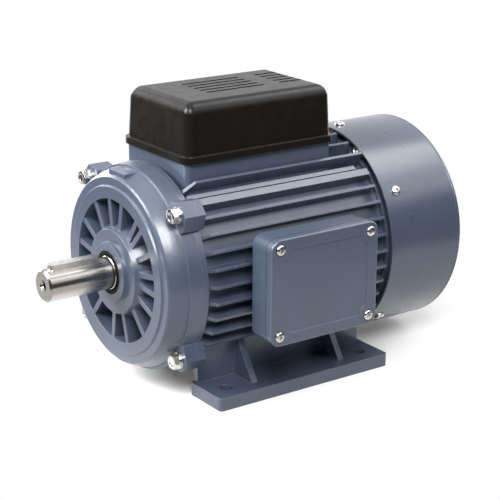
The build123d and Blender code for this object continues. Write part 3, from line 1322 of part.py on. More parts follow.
# ---------------------------------------------------------------- shaft and rotor
with BuildPart() as shaft:
    add(
        turned(
            [
                (SHAFT_END, 0),
                (SHAFT_END, SHAFT_R - SHAFT_CHAMFER),
                (SHAFT_END + SHAFT_CHAMFER, SHAFT_R),
                (BOSS_FACE - SHAFT_SHOULDER, SHAFT_R),
                (BOSS_FACE - SHAFT_SHOULDER / 2, DE_BORE_R - SEAT_FIT),
                (DE_REAR, DE_BORE_R - SEAT_FIT),
                (DE_REAR, SHAFT_BODY_R),
                (GOVERNOR_FRONT, SHAFT_BODY_R),
                (GOVERNOR_FRONT, SLEEVE_BORE_R - SEAT_FIT),
                (NDE_FRONT, SLEEVE_BORE_R - SEAT_FIT),
                (NDE_FRONT, NDE_BORE_R - SEAT_FIT),
                (NDE_REAR + 1, NDE_BORE_R - SEAT_FIT),
                (NDE_REAR + 1, FAN_BORE_R - SEAT_FIT),
                (SHAFT_REAR - 1, FAN_BORE_R - SEAT_FIT),
                (SHAFT_REAR, FAN_BORE_R - 1),
                (SHAFT_REAR, 0),
            ]
        )
    )
    # Keyway, threaded centre hole with its countersink, circlip groove and drive-pin hole
    with BuildSketch(Plane.XY.offset(SHAFT_HEIGHT + SHAFT_R - KEY_DEPTH)):
        with Locations((KEY_MIDDLE, 0)):
            SlotOverall(KEY_LENGTH, KEY_WIDTH)
    extrude(amount=KEY_HEIGHT, mode=Mode.SUBTRACT)
    with Locations(seat(SHAFT_END, 0, SHAFT_HEIGHT, (-1, 0, 0))):
        CounterSinkHole(CENTRE_HOLE_R, CENTRE_SINK_R, CENTRE_HOLE_DEPTH, counter_sink_angle=60)
    add(ring(CIRCLIP_FRONT, CIRCLIP_FRONT + CIRCLIP, FAN_BORE_R, CIRCLIP_SEAT_R), mode=Mode.SUBTRACT)
    with Locations((PIN_X, 0, SHAFT_HEIGHT)):
        Cylinder(PIN_R, 4 * FAN_BORE_R, mode=Mode.SUBTRACT)
finish(shaft.part, "shaft")

with BuildPart() as shaft_key:
    with BuildSketch(Plane.XY.offset(SHAFT_HEIGHT + SHAFT_R - KEY_DEPTH)):
        with Locations((KEY_MIDDLE, 0)):
            SlotOverall(KEY_LENGTH - 2 * SEAT_FIT, KEY_WIDTH - 2 * SEAT_FIT)
    extrude(amount=KEY_HEIGHT)
finish(shaft_key.part, "shaft_key")

with BuildPart() as rotor_core:
    with BuildSketch(CROSS.offset(CORE_FRONT)):
        Circle(STATOR_BORE_R - AIR_GAP)
        Circle(SHAFT_BODY_R, mode=Mode.SUBTRACT)
        tapered_slots(ROTOR_BARS, ROTOR_TOOTH, ROTOR_BAR_BOTTOM_R, ROTOR_BAR_TOP_R, 0, Mode.SUBTRACT)
    extrude(amount=CORE_LENGTH)
finish(rotor_core.part, "rotor_core")

with BuildPart() as rotor_cage:
    with BuildSketch(CROSS.offset(CORE_FRONT)):
        tapered_slots(ROTOR_BARS, ROTOR_TOOTH, ROTOR_BAR_BOTTOM_R, ROTOR_BAR_TOP_R, 0)
    extrude(amount=CORE_LENGTH)
    for side, face in ((-1, CORE_FRONT), (1, CORE_REAR)):
        end = face + side * END_RING_LENGTH
        add(ring(min(face, end), max(face, end), ROTOR_RING_OUTER_R, ROTOR_RING_INNER_R))
        with BuildSketch(CROSS.offset(end)):
            with PolarLocations(ROTOR_RING_INNER_R + 1, ROTOR_VANES):
                vane = ROTOR_RING_OUTER_R - ROTOR_RING_INNER_R - 2
                Rectangle(vane, ROTOR_VANE, align=(Align.MIN, Align.CENTER))
        extrude(amount=side * ROTOR_VANE_LENGTH)
finish(rotor_cage.part, "rotor_cage")

# ---------------------------------------------------------------- cooling fan
with BuildPart() as cooling_fan:
    plate_rear = FAN_FRONT + FAN_PLATE
    add(
        turned(
            [
                (FAN_FRONT, FAN_BORE_R),
                (FAN_REAR, FAN_BORE_R),
                (FAN_REAR, FAN_HUB_R),
                (plate_rear + 4, FAN_HUB_R),
                (plate_rear, FAN_HUB_R + 4),
                (plate_rear, FAN_R),
                (FAN_FRONT, FAN_R),
            ]
        )
    )
    with BuildSketch(AXIAL):
        with BuildLine():
            Polyline(
                (plate_rear - 1, FAN_HUB_R - 2),
                (FAN_REAR - 6, FAN_HUB_R - 2),
                (FAN_REAR - 6, FAN_HUB_R + 4),
                (FAN_REAR, FAN_R * 0.55),
                (FAN_REAR, FAN_R - 3),
                (plate_rear - 1, FAN_R),
                close=True,
            )
        make_face()
    blade = extrude(amount=FAN_BLADE / 2, both=True, mode=Mode.PRIVATE)
    for n in range(FAN_BLADES):
        add(blade.rotate(SHAFT_AXIS, n * 360 / FAN_BLADES))
    with Locations((PIN_X, 0, SHAFT_HEIGHT)):
        Cylinder(PIN_R, 2 * FAN_HUB_R + 2, mode=Mode.SUBTRACT)
finish(cooling_fan.part, "cooling_fan")

with BuildPart() as fan_pin:
    with Locations((PIN_X, 0, SHAFT_HEIGHT)):
        Cylinder(PIN_R - SEAT_FIT, 2 * FAN_HUB_R - 2)
finish(fan_pin.part, "fan_pin")

with BuildPart() as fan_circlip:
    add(ring(CIRCLIP_FRONT, CIRCLIP_FRONT + CIRCLIP, CIRCLIP_R, CIRCLIP_SEAT_R + SEAT_FIT))
    with BuildSketch(CROSS.offset(CIRCLIP_FRONT)):
        with Locations((0, -CIRCLIP_R)):
            Rectangle(CIRCLIP_MOUTH, CIRCLIP_R)
    extrude(amount=CIRCLIP, mode=Mode.SUBTRACT)
finish(fan_circlip.part, "fan_circlip")

# ---------------------------------------------------------------- centrifugal switch
with BuildPart() as governor_hub:
    # Sleeve and disc on the shaft
    add(
        turned(
            [
                (GOVERNOR_FRONT, SLEEVE_BORE_R),
                (SLEEVE_REAR, SLEEVE_BORE_R),
                (SLEEVE_REAR, SLEEVE_R),
                (GOVERNOR_FACE, SLEEVE_R),
                (GOVERNOR_FACE, PIVOT_R + HUB_EDGE),
                (GOVERNOR_FRONT, PIVOT_R + HUB_EDGE),
            ]
        )
    )
    # Ears each side of both weights, drilled for the pivot pins
    with BuildSketch(CROSS.offset(GOVERNOR_FACE - 1)):
        with GridLocations(2 * PIVOT_R, 2 * EAR_INNER + EAR, 2, 2):
            Rectangle(2 * HUB_EDGE, EAR)
    extrude(amount=GROOVE_CENTRE + HUB_EDGE - GOVERNOR_FACE + 1)
    with Locations((GROOVE_CENTRE, PIVOT_R, SHAFT_HEIGHT), (GROOVE_CENTRE, -PIVOT_R, SHAFT_HEIGHT)):
        Cylinder(WEIGHT_PIN_R + SEAT_FIT, 4 * EAR_INNER, mode=Mode.SUBTRACT)
    # Groove of the stop ring
    add(ring(STOP_FRONT, STOP_FRONT + STOP_RING, SLEEVE_R + 1, STOP_SEAT_R), mode=Mode.SUBTRACT)
finish(governor_hub.part, "governor_hub")

with BuildPart() as governor_stop_ring:
    add(ring(STOP_FRONT, STOP_FRONT + STOP_RING, STOP_RING_R, STOP_SEAT_R + SEAT_FIT))
finish(governor_stop_ring.part, "governor_stop_ring")

with BuildPart() as flyweight_pins:
    with Locations((GROOVE_CENTRE, PIVOT_R, SHAFT_HEIGHT), (GROOVE_CENTRE, -PIVOT_R, SHAFT_HEIGHT)):
        Cylinder(WEIGHT_PIN_R, 2 * (EAR_INNER + EAR))
finish(flyweight_pins.part, "flyweight_pins")

with BuildPart() as governor_collar:
    groove_half = FINGER / 2 + FINGER_GAP
    collar_bore = SLEEVE_R + RUNNING_FIT
    add(
        turned(
            [
                (COLLAR_FRONT, collar_bore),
                (COLLAR_REAR, collar_bore),
                (COLLAR_REAR, COLLAR_R),
                (GROOVE_CENTRE + groove_half, COLLAR_R),
                (GROOVE_CENTRE + groove_half, COLLAR_GROOVE_R),
                (GROOVE_CENTRE - groove_half, COLLAR_GROOVE_R),
                (GROOVE_CENTRE - groove_half, COLLAR_R),
                (COLLAR_FRONT, COLLAR_R),
            ]
        )
    )
finish(governor_collar.part, "governor_collar")


# Flyweight outline from its pivot, (along X, outwards): weight, boss round the pin, finger
WEIGHT_OUTLINE = (
    (-7.2, 3.0),
    (-7.2, 10.0),
    (1.0, 10.0),
    (2.2, 4.0),
    (2.2, -2.0),
    (FINGER / 2, -4.0),
    (FINGER / 2, -LEVER_ARM),
    (-FINGER / 2, -LEVER_ARM),
    (-FINGER / 2, -3.5),
    (-2.5, -1.0),
    (-2.5, 3.0),
)


def flyweight(side):
    """Bell-crank weight on one side of the shaft: its finger reaches into the collar's groove."""
    with BuildPart() as part:
        with BuildSketch(Plane.XY.offset(SHAFT_HEIGHT - WEIGHT_HALF_WIDTH)):
            Polygon(*[(GROOVE_CENTRE + x, side * (PIVOT_R + out)) for x, out in WEIGHT_OUTLINE], align=None)
        extrude(amount=2 * WEIGHT_HALF_WIDTH)
        with Locations((GROOVE_CENTRE, side * PIVOT_R, SHAFT_HEIGHT)):
            Cylinder(WEIGHT_PIN_R + RUNNING_FIT, 4 * WEIGHT_HALF_WIDTH, mode=Mode.SUBTRACT)
    return part.part


with BuildPart() as flyweight_a:
    add(flyweight(1))
finish(flyweight_a.part, "flyweight_a")

with BuildPart() as flyweight_b:
    add(flyweight(-1))
finish(flyweight_b.part, "flyweight_b")

with BuildPart() as switch_board:
    board_y = CONTACT_Y - 2 + SWITCH_BOARD_WIDTH / 2
    with BuildSketch(CROSS.offset(SWITCH_BOARD_FACE)):
        with Locations((-board_y, 0)):
            RectangleRounded(SWITCH_BOARD_WIDTH, SWITCH_BOARD_HEIGHT, 3)
        with Locations(*SWITCH_SCREWS):
            Circle(M3_R + HOLE_FIT, mode=Mode.SUBTRACT)
    extrude(amount=SWITCH_BOARD)
    # Ears of the arm's hinge with the hinge pin across them
    ear_width = SWITCH_BOARD_FACE - ARM_PIVOT_X + ARM_BARREL_R
    ear_gap = ARM_HALF_WIDTH + HOLE_FIT
    for ear_base in (SHAFT_HEIGHT + ear_gap, SHAFT_HEIGHT - ear_gap - ARM_EAR):
        with BuildSketch(Plane.XY.offset(ear_base)):
            with Locations((SWITCH_BOARD_FACE - ear_width / 2, -ARM_PIVOT_Y)):
                Rectangle(ear_width, 2 * ARM_BARREL_R + 1)
        extrude(amount=ARM_EAR)
    with Locations((ARM_PIVOT_X, -ARM_PIVOT_Y, SHAFT_HEIGHT)):
        Cylinder(ARM_PIN_R, 2 * ARM_HALF_WIDTH + ARM_EAR)
finish(switch_board.part, "switch_board")

with BuildPart() as switch_board_screws:
    with Locations(*facing_front(SWITCH_BOARD_FACE, SWITCH_SCREWS)):
        add(pan_screw(M3_HEAD_R, M3_HEAD, M3_R - THREAD_FIT, SWITCH_BOARD + SWITCH_STANDOFF + M3_THREAD - 1))
finish(switch_board_screws.part, "switch_board_screws")

with BuildPart() as fixed_contact:
    with Locations(seat(SWITCH_BOARD_FACE, -CONTACT_Y, SHAFT_HEIGHT, (-1, 0, 0))):
        Cylinder(CONTACT_R, CONTACT, align=BASE)
finish(fixed_contact.part, "fixed_contact")

with BuildPart() as switch_arm:
    # Leaf from the hinge barrel to the rubbing pad, with the moving contact behind it
    pad_x, pad_y = ARM_PIVOT_X - PAD_SETBACK, SWITCH_ARM_LENGTH - ARM_PIVOT_Y
    with BuildSketch(Plane.XY.offset(SHAFT_HEIGHT - ARM_HALF_WIDTH)):
        with Locations((ARM_PIVOT_X, -ARM_PIVOT_Y)):
            Circle(ARM_BARREL_R)
        with Locations((pad_x, pad_y)):
            Circle(PAD_R)
        Polygon(
            (ARM_PIVOT_X - ARM_THICKNESS, -ARM_PIVOT_Y),
            (ARM_PIVOT_X, -ARM_PIVOT_Y),
            (pad_x + ARM_THICKNESS / 2, pad_y),
            (pad_x - ARM_THICKNESS / 2, pad_y),
            align=None,
        )
    extrude(amount=2 * ARM_HALF_WIDTH)
    with Locations((ARM_PIVOT_X, -ARM_PIVOT_Y, SHAFT_HEIGHT)):
        Cylinder(ARM_PIN_R + RUNNING_FIT, 4 * ARM_HALF_WIDTH, mode=Mode.SUBTRACT)
    with Locations(seat(SWITCH_BOARD_FACE - CONTACT - CONTACT_GAP, -CONTACT_Y, SHAFT_HEIGHT, (1, 0, 0))):
        Cylinder(CONTACT_R, ARM_PIVOT_SETBACK, align=TIP)
finish(switch_arm.part, "switch_arm")
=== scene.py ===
from math import cos, pi, radians, sin, tan

import bpy
from bpy.props import FloatProperty, FloatVectorProperty, IntProperty, PointerProperty
from mathutils import Matrix, Vector


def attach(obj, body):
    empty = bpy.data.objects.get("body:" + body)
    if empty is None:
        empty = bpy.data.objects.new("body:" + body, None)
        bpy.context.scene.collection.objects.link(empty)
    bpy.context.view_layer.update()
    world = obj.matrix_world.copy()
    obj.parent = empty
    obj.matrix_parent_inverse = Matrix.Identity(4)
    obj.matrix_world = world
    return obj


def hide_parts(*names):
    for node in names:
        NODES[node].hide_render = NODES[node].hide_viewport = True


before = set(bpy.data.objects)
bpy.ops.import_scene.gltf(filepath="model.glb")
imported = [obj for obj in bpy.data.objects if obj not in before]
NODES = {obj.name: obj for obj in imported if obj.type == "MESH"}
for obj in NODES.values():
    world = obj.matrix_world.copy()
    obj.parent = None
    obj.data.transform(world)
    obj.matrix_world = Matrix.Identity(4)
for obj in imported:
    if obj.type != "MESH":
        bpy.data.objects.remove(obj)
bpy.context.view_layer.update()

bl_info = {
    "name": "Capacitor Motor",
    "version": (1, 0, 0),
    "blender": (4, 5, 0),
    "location": "3D View > Sidebar > Motor",
    "description": "Dresses a foot-mounted capacitor motor: castings, covers, shaft, fasteners and stage",
    "category": "Object",
}

SHAFT_HEIGHT = 0.090
MM = 0.001


# ---------------------------------------------------------------- settings
class MotorColours(bpy.types.PropertyGroup):
    """Colours of the motor's finishes"""

    enamel: FloatVectorProperty(
        name="Enamel", description="Colour of the painted castings and the cowl", subtype="COLOR",
        default=(0.0500, 0.0670, 0.1020), min=0, max=1,
    )
    cover: FloatVectorProperty(
        name="Cover plastic", description="Colour of the capacitor cover", subtype="COLOR",
        default=(0.0060, 0.0050, 0.0043), min=0, max=1,
    )
    zinc: FloatVectorProperty(
        name="Zinc plate", description="Colour of the plated fasteners", subtype="COLOR",
        default=(0.66, 0.65, 0.63), min=0, max=1,
    )
    steel: FloatVectorProperty(
        name="Ground steel", description="Colour of the shaft", subtype="COLOR",
        default=(0.40, 0.380, 0.355), min=0, max=1,
    )


class MotorSizes(bpy.types.PropertyGroup):
    """Sizes of the fine detail"""

    edge_radius: FloatProperty(
        name="Casting edge radius", description="Softness of the castings' edges", subtype="DISTANCE",
        unit="LENGTH", default=0.9 * MM, min=0.1 * MM, max=3 * MM,
    )
    grain: FloatProperty(
        name="Sand grain", description="Size of the grain under the enamel", subtype="DISTANCE",
        unit="LENGTH", default=0.9 * MM, min=0.2 * MM, max=4 * MM,
    )
    recess_depth: FloatProperty(
        name="Screw recess depth", description="Depth of the cross recess", subtype="DISTANCE",
        unit="LENGTH", default=1.7 * MM, min=0.3 * MM, max=2 * MM,
    )
    dish_depth: FloatProperty(
        name="Bolt dish depth", description="Depth of the dish in each hexagon head", subtype="DISTANCE",
        unit="LENGTH", default=0.5 * MM, min=0.1 * MM, max=1.5 * MM,
    )
    head_segments: IntProperty(
        name="Head segments", description="Sides of each round screw head", default=40, min=12, max=64,
    )
    turn_seed: IntProperty(
        name="Turn seed", description="Where each fastener stopped turning", default=7, min=0, max=99,
    )


class MotorStage(bpy.types.PropertyGroup):
    """Floor, lamps and camera"""

    floor: FloatVectorProperty(
        name="Floor", description="Colour of the floor", subtype="COLOR",
        default=(0.80, 0.80, 0.80), min=0, max=1,
    )
    light: FloatProperty(
        name="Light", description="Strength of all lamps together", default=1.0, min=0.1, max=5.0,
    )
    distance: FloatProperty(
        name="Camera distance", description="Camera to the motor's middle", subtype="DISTANCE",
        unit="LENGTH", default=1.153, min=0.5, max=5.0,
    )


# ---------------------------------------------------------------- materials
NOISE_LOW, NOISE_HIGH = 0.3, 0.7  # nearly all of a noise lies between these
BEVEL_SAMPLES = 4
FULL_EDGE, NO_EDGE = 0.80, 0.99  # cosine between the rounded and the plain normal
HIGHLIGHT_PATCH, HIGHLIGHT_LEAST = 5 * MM, 0.35  # size of the patches of painted highlight along the edges, and the share of it between them
MIX_FIRST, MIX_SECOND, MIX_RESULT = 6, 7, 2  # colour sockets of a Mix node


class Finish:
    """A material in the making: its Principled shader and short ways to add nodes."""

    def __init__(self, name, colour, roughness, metallic=0.0, **shader):
        self.material = bpy.data.materials.new(name)
        self.material.use_nodes = True
        self.tree = self.material.node_tree
        self.shader = self.tree.nodes["Principled BSDF"]
        self.set("Base Color", (*colour, 1))
        self.set("Roughness", roughness)
        self.set("Metallic", metallic)
        for socket, value in shader.items():
            self.set(socket.replace("_", " "), value)
        self.place = self.add("ShaderNodeTexCoord").outputs["Object"]
        self.normal = None
        self.colour = colour

    def set(self, socket, value):
        self.shader.inputs[socket].default_value = value

    def add(self, kind, links=None, **settings):
        """A node, with inputs by name or number and settings by attribute."""
        node = self.tree.nodes.new(kind)
        for key, value in settings.items():
            setattr(node, key, value)
        for key, value in (links or {}).items():
            socket = node.inputs[key]
            if isinstance(value, bpy.types.NodeSocket):
                self.tree.links.new(value, socket)
            else:
                socket.default_value = value
        return node

    def join(self, output, socket):
        self.tree.links.new(output, self.shader.inputs[socket])

    def sum(self, operation, *values):
        """A sum over numbers and sockets."""
        return self.add("ShaderNodeMath", dict(enumerate(values)), operation=operation).outputs[0]

    def stretched(self, scale, centre=(0, 0, 0)):
        """Object coordinates from a centre, scaled along each axis."""
        moved = self.add("ShaderNodeVectorMath", {0: self.place, 1: centre}, operation="SUBTRACT")
        return self.add("ShaderNodeMapping", {"Vector": moved.outputs[0], "Scale": scale}).outputs["Vector"]

    def length(self, place):
        """Distance of a place from the origin."""
        return self.add("ShaderNodeVectorMath", {0: place}, operation="LENGTH").outputs["Value"]

    def noise(self, size, detail=3, place=None, rough=0.55):
        """Noise whose features are about a size across, in metres."""
        links = {"Vector": place or self.place, "Scale": 1 / size, "Detail": detail, "Roughness": rough}
        return self.add("ShaderNodeTexNoise", links).outputs["Fac"]

    def spread(self, value, low, high, from_low=NOISE_LOW, from_high=NOISE_HIGH):
        """A value mapped to a range."""
        links = {"Value": value, "From Min": from_low, "From Max": from_high, "To Min": low, "To Max": high}
        return self.add("ShaderNodeMapRange", links).outputs["Result"]

    def mixed(self, share, first, second):
        """A colour between two, by a share from 0 to 1."""
        links = {"Factor": share, MIX_FIRST: first, MIX_SECOND: second}
        return self.add("ShaderNodeMix", links, data_type="RGBA").outputs[MIX_RESULT]

    def tint(self, value, dark, light):
        """The base colour varies between two strengths of itself."""
        stops = self.add("ShaderNodeValToRGB", {"Fac": value})
        ramp = stops.color_ramp.elements
        ramp[0].position, ramp[1].position = NOISE_LOW, NOISE_HIGH
        ramp[0].color = (*[c * dark for c in self.colour], 1)
        ramp[1].color = (*[min(1, c * light) for c in self.colour], 1)
        self.join(stops.outputs["Color"], "Base Color")
        return stops.outputs["Color"]

    def rounded(self, radius):
        """The normal of the surface with its edges rounded."""
        return self.add("ShaderNodeBevel", {"Radius": radius}, samples=BEVEL_SAMPLES).outputs["Normal"]

    def paint_edge_highlights(self, colour, radius, light, lift=0.0):
        """Painted highlight: the base colour turns paler along the edges, in patches, where the edges would
        catch the light.
        """
        plain = self.add("ShaderNodeNewGeometry").outputs["Normal"]
        normals = {0: self.rounded(radius), 1: plain}
        cosine = self.add("ShaderNodeVectorMath", normals, operation="DOT_PRODUCT")
        edge = self.spread(cosine.outputs["Value"], 1.0, 0.0, FULL_EDGE, NO_EDGE)
        patches = self.spread(self.noise(HIGHLIGHT_PATCH), HIGHLIGHT_LEAST, 1.0)
        highlit = tuple(min(1, c * light + lift) for c in self.colour)
        self.join(self.mixed(self.sum("MULTIPLY", edge, patches), colour, (*highlit, 1)), "Base Color")

    def vary_roughness(self, value, low, high):
        self.join(self.spread(value, low, high), "Roughness")

    def soften(self, radius):
        """Round every edge a little in the shading."""
        self.normal = self.rounded(radius)
        self.join(self.normal, "Normal")

    def relief(self, height, depth):
        """Bump of a depth in metres, over the relief so far."""
        links = {"Height": height, "Distance": depth}
        if self.normal:
            links["Normal"] = self.normal
        self.normal = self.add("ShaderNodeBump", links).outputs["Normal"]
        self.join(self.normal, "Normal")


def cast_enamel(name, colour, grain, edge):
    """Satin enamel over a sand casting."""
    finish = Finish(name, colour, roughness=0.34, Coat_Weight=0.60, Coat_Roughness=0.22)
    mottled = finish.tint(finish.noise(45 * MM, detail=4), dark=0.93, light=1.07)
    # painted highlight: the enamel's colour is paler along the castings' edges
    finish.paint_edge_highlights(mottled, 1.2 * edge, light=1.7, lift=0.035)
    finish.vary_roughness(finish.noise(6 * MM, detail=4), low=0.31, high=0.42)
    finish.soften(edge)
    finish.relief(finish.noise(4.0 * grain, detail=2), depth=0.10 * MM)
    finish.relief(finish.noise(grain, detail=4, rough=0.65), depth=0.05 * MM)
    return finish.material


def sheet_enamel(name, colour):
    """Satin enamel sprayed on pressed sheet: orange peel, no grain."""
    finish = Finish(name, colour, roughness=0.30, Coat_Weight=0.55, Coat_Roughness=0.24)
    mottled = finish.tint(finish.noise(60 * MM), dark=0.96, light=1.04)
    # painted highlight: the enamel's colour is paler along the cowl's edges
    finish.paint_edge_highlights(mottled, 0.6 * MM, light=1.5, lift=0.03)
    finish.vary_roughness(finish.noise(10 * MM), low=0.27, high=0.34)
    finish.soften(0.5 * MM)
    finish.relief(finish.noise(2.2 * MM, detail=2), depth=0.035 * MM)
    return finish.material


def moulded_plastic(name, colour, grain, depth, roughness, shine=0.5, edge_highlight_gain=1.6):
    """Plastic from a spark-eroded mould."""
    edge = 0.5 * MM
    finish = Finish(name, colour, roughness, Specular_IOR_Level=shine)
    mottled = finish.tint(finish.noise(30 * MM), dark=0.85, light=1.2)
    # painted highlight: the plastic's colour is paler along its edges, by edge_highlight_gain
    finish.paint_edge_highlights(mottled, 1.4 * edge, light=edge_highlight_gain)
    finish.vary_roughness(finish.noise(8 * MM), low=roughness - 0.04, high=roughness + 0.05)
    finish.soften(edge)
    finish.relief(finish.noise(grain, rough=0.6), depth)
    return finish.material


def plated_steel(name, colour):
    """Bright zinc plate with a faint haze and turning marks."""
    finish = Finish(name, colour, roughness=0.22, metallic=1.0)
    haze = finish.noise(2.5 * MM)
    finish.tint(haze, dark=0.90, light=1.04)
    finish.vary_roughness(haze, low=0.16, high=0.28)
    finish.soften(0.12 * MM)
    finish.relief(finish.noise(0.8 * MM, detail=2), depth=0.003 * MM)
    return finish.material


def turned_steel(name, colour, roughness, pitch=0.25 * MM, depth=0.003 * MM):
    """Turned or ground steel: fine rings along the shaft."""
    finish = Finish(name, colour, roughness, metallic=1.0)
    along = finish.stretched((1, 0.02, 0.02))
    rings = finish.noise(pitch, place=along, rough=0.7)
    finish.tint(finish.noise(1.8 * MM, place=along), dark=0.95, light=1.03)
    finish.vary_roughness(rings, low=0.75 * roughness, high=1.35 * roughness)
    finish.soften(0.12 * MM)
    finish.relief(rings, depth)
    return finish.material


def drawn_metal(name, colour, roughness):
    """Rolled or drawn metal with fine lines along X."""
    finish = Finish(name, colour, roughness, metallic=1.0)
    lines = finish.noise(0.35 * MM, place=finish.stretched((0.04, 1, 1)))
    finish.tint(finish.noise(4 * MM), dark=0.85, light=1.08)
    finish.vary_roughness(lines, low=0.8 * roughness, high=1.3 * roughness)
    finish.soften(0.2 * MM)
    finish.relief(lines, depth=0.004 * MM)
    return finish.material


def cast_metal(name, colour, grain):
    """Bare cast aluminium."""
    finish = Finish(name, colour, roughness=0.45, metallic=1.0)
    finish.tint(finish.noise(6 * MM, detail=4), dark=0.8, light=1.08)
    finish.vary_roughness(finish.noise(2 * MM), low=0.38, high=0.55)
    finish.soften(0.5 * MM)
    finish.relief(finish.noise(grain, detail=4, rough=0.65), depth=0.06 * MM)
    return finish.material


def stacked_sheets(name, colour, sheet):
    """Edges of thin core sheets."""
    finish = Finish(name, colour, roughness=0.42, metallic=0.85)
    links = {"Vector": finish.place, "Scale": 1 / (2 * pi * sheet), "Distortion": 0.6}
    sheets = finish.add("ShaderNodeTexWave", links, bands_direction="X").outputs["Fac"]
    finish.tint(sheets, dark=0.55, light=1.15)
    finish.vary_roughness(finish.noise(3 * MM), low=0.35, high=0.55)
    finish.relief(sheets, depth=0.06 * MM)
    return finish.material


def varnished_wire(name, colour, wire):
    """Bundles of enamelled wire under varnish, in shells round the motor's middle."""
    finish = Finish(name, colour, roughness=0.26, metallic=0.55, Coat_Weight=0.6, Coat_Roughness=0.15)
    reach = finish.length(finish.stretched((1, 1, 1), centre=(0, 0, SHAFT_HEIGHT)))
    strands = finish.sum("SINE", finish.sum("MULTIPLY", reach, 2 * pi / wire))
    lay = finish.noise(0.9 * MM, detail=2, place=finish.stretched((1, 1, 0.2)))
    finish.tint(lay, dark=0.55, light=1.25)
    finish.vary_roughness(finish.noise(12 * MM), low=0.2, high=0.38)
    finish.relief(strands, depth=0.1 * MM)
    return finish.material


def soft_rubber(name, colour):
    """Matt rubber with a dusty bloom."""
    finish = Finish(name, colour, roughness=0.62, Specular_IOR_Level=0.2)
    finish.tint(finish.noise(3 * MM, detail=4), dark=0.75, light=1.45)
    finish.vary_roughness(finish.noise(1.5 * MM), low=0.55, high=0.75)
    finish.soften(0.2 * MM)
    finish.relief(finish.noise(0.4 * MM), depth=0.02 * MM)
    return finish.material


def pressed_board(name, colour):
    """Resin board: mottled filler under a dull skin."""
    finish = Finish(name, colour, roughness=0.48)
    finish.tint(finish.noise(1.6 * MM, detail=5, rough=0.7), dark=0.7, light=1.4)
    finish.vary_roughness(finish.noise(4 * MM), low=0.4, high=0.55)
    finish.soften(0.3 * MM)
    finish.relief(finish.noise(0.6 * MM), depth=0.03 * MM)
    return finish.material


def clear_nylon(name, colour):
    """Natural nylon, slightly waxy."""
    finish = Finish(name, colour, roughness=0.38, Subsurface_Weight=0.15, Subsurface_Scale=2 * MM)
    finish.tint(finish.noise(5 * MM), dark=0.92, light=1.04)
    finish.vary_roughness(finish.noise(2 * MM), low=0.33, high=0.46)
    finish.soften(0.3 * MM)
    finish.relief(finish.noise(0.8 * MM, detail=2), depth=0.02 * MM)
    return finish.material


FINISHES = {}
WEARERS = {
    "casting": ("motor_frame", "drive_end_shield", "fan_end_shield", "terminal_box", "terminal_box_lid"),
    "cowl": ("fan_cowl",),
    "cover": ("capacitor_cover",),
    "zinc": (
        "drive_end_bolts", "drive_end_washers", "drive_end_lock_washers", "fan_end_bolts",
        "fan_end_washers", "cowl_screws", "cover_screws", "terminal_box_screws", "lid_screws",
        "board_screws", "switch_board_screws", "fan_pin", "flyweight_pins",
    ),
    "shaft": ("shaft",),
    "key": ("shaft_key",),
    "seal": ("shaft_seal",),
    "gasket": ("cover_gasket", "terminal_box_gasket", "lid_gasket"),
    "bearing": (
        "de_bearing_outer_ring", "de_bearing_inner_ring", "de_bearing_balls",
        "nde_bearing_outer_ring", "nde_bearing_inner_ring", "nde_bearing_balls",
    ),
    "spring": (
        "de_bearing_cage", "nde_bearing_cage", "preload_washer", "fan_circlip", "governor_stop_ring",
        "governor_hub", "flyweight_a", "flyweight_b",
    ),
    "core": ("stator_core", "rotor_core"),
    "winding": ("stator_windings",),
    "cage": ("rotor_cage",),
    "fan": ("cooling_fan",),
    "start_can": ("start_capacitor",),
    "run_can": ("run_capacitor",),
    "cradle": ("capacitor_cradles",),
    "board": ("terminal_board", "switch_board"),
    "brass": ("terminal_studs", "terminal_links", "terminal_nuts", "earth_screw", "switch_arm"),
    "nylon": ("governor_collar",),
    "silver": ("fixed_contact",),
}


def mix_outer_finishes(colours, sizes):
    """The finishes that show on the closed motor."""
    FINISHES.update(
        casting=cast_enamel("casting_enamel", colours.enamel, sizes.grain, sizes.edge_radius),
        cowl=sheet_enamel("cowl_enamel", colours.enamel),
        cover=moulded_plastic(
            "cover_plastic", colours.cover, grain=0.45 * MM, depth=0.016 * MM, roughness=0.30,
            # painted highlight: a strong paler colour along the cover's edges and lip
            shine=0.26, edge_highlight_gain=6.0,
        ),
        zinc=plated_steel("zinc_plate", colours.zinc),
        shaft=turned_steel("ground_shaft", colours.steel, roughness=0.20, depth=0.0008 * MM),
        key=drawn_metal("key_steel", (0.62, 0.60, 0.56), roughness=0.30),
        seal=soft_rubber("seal_rubber", (0.006, 0.006, 0.006)),
        gasket=soft_rubber("gasket_rubber", (0.02, 0.02, 0.02)),
    )


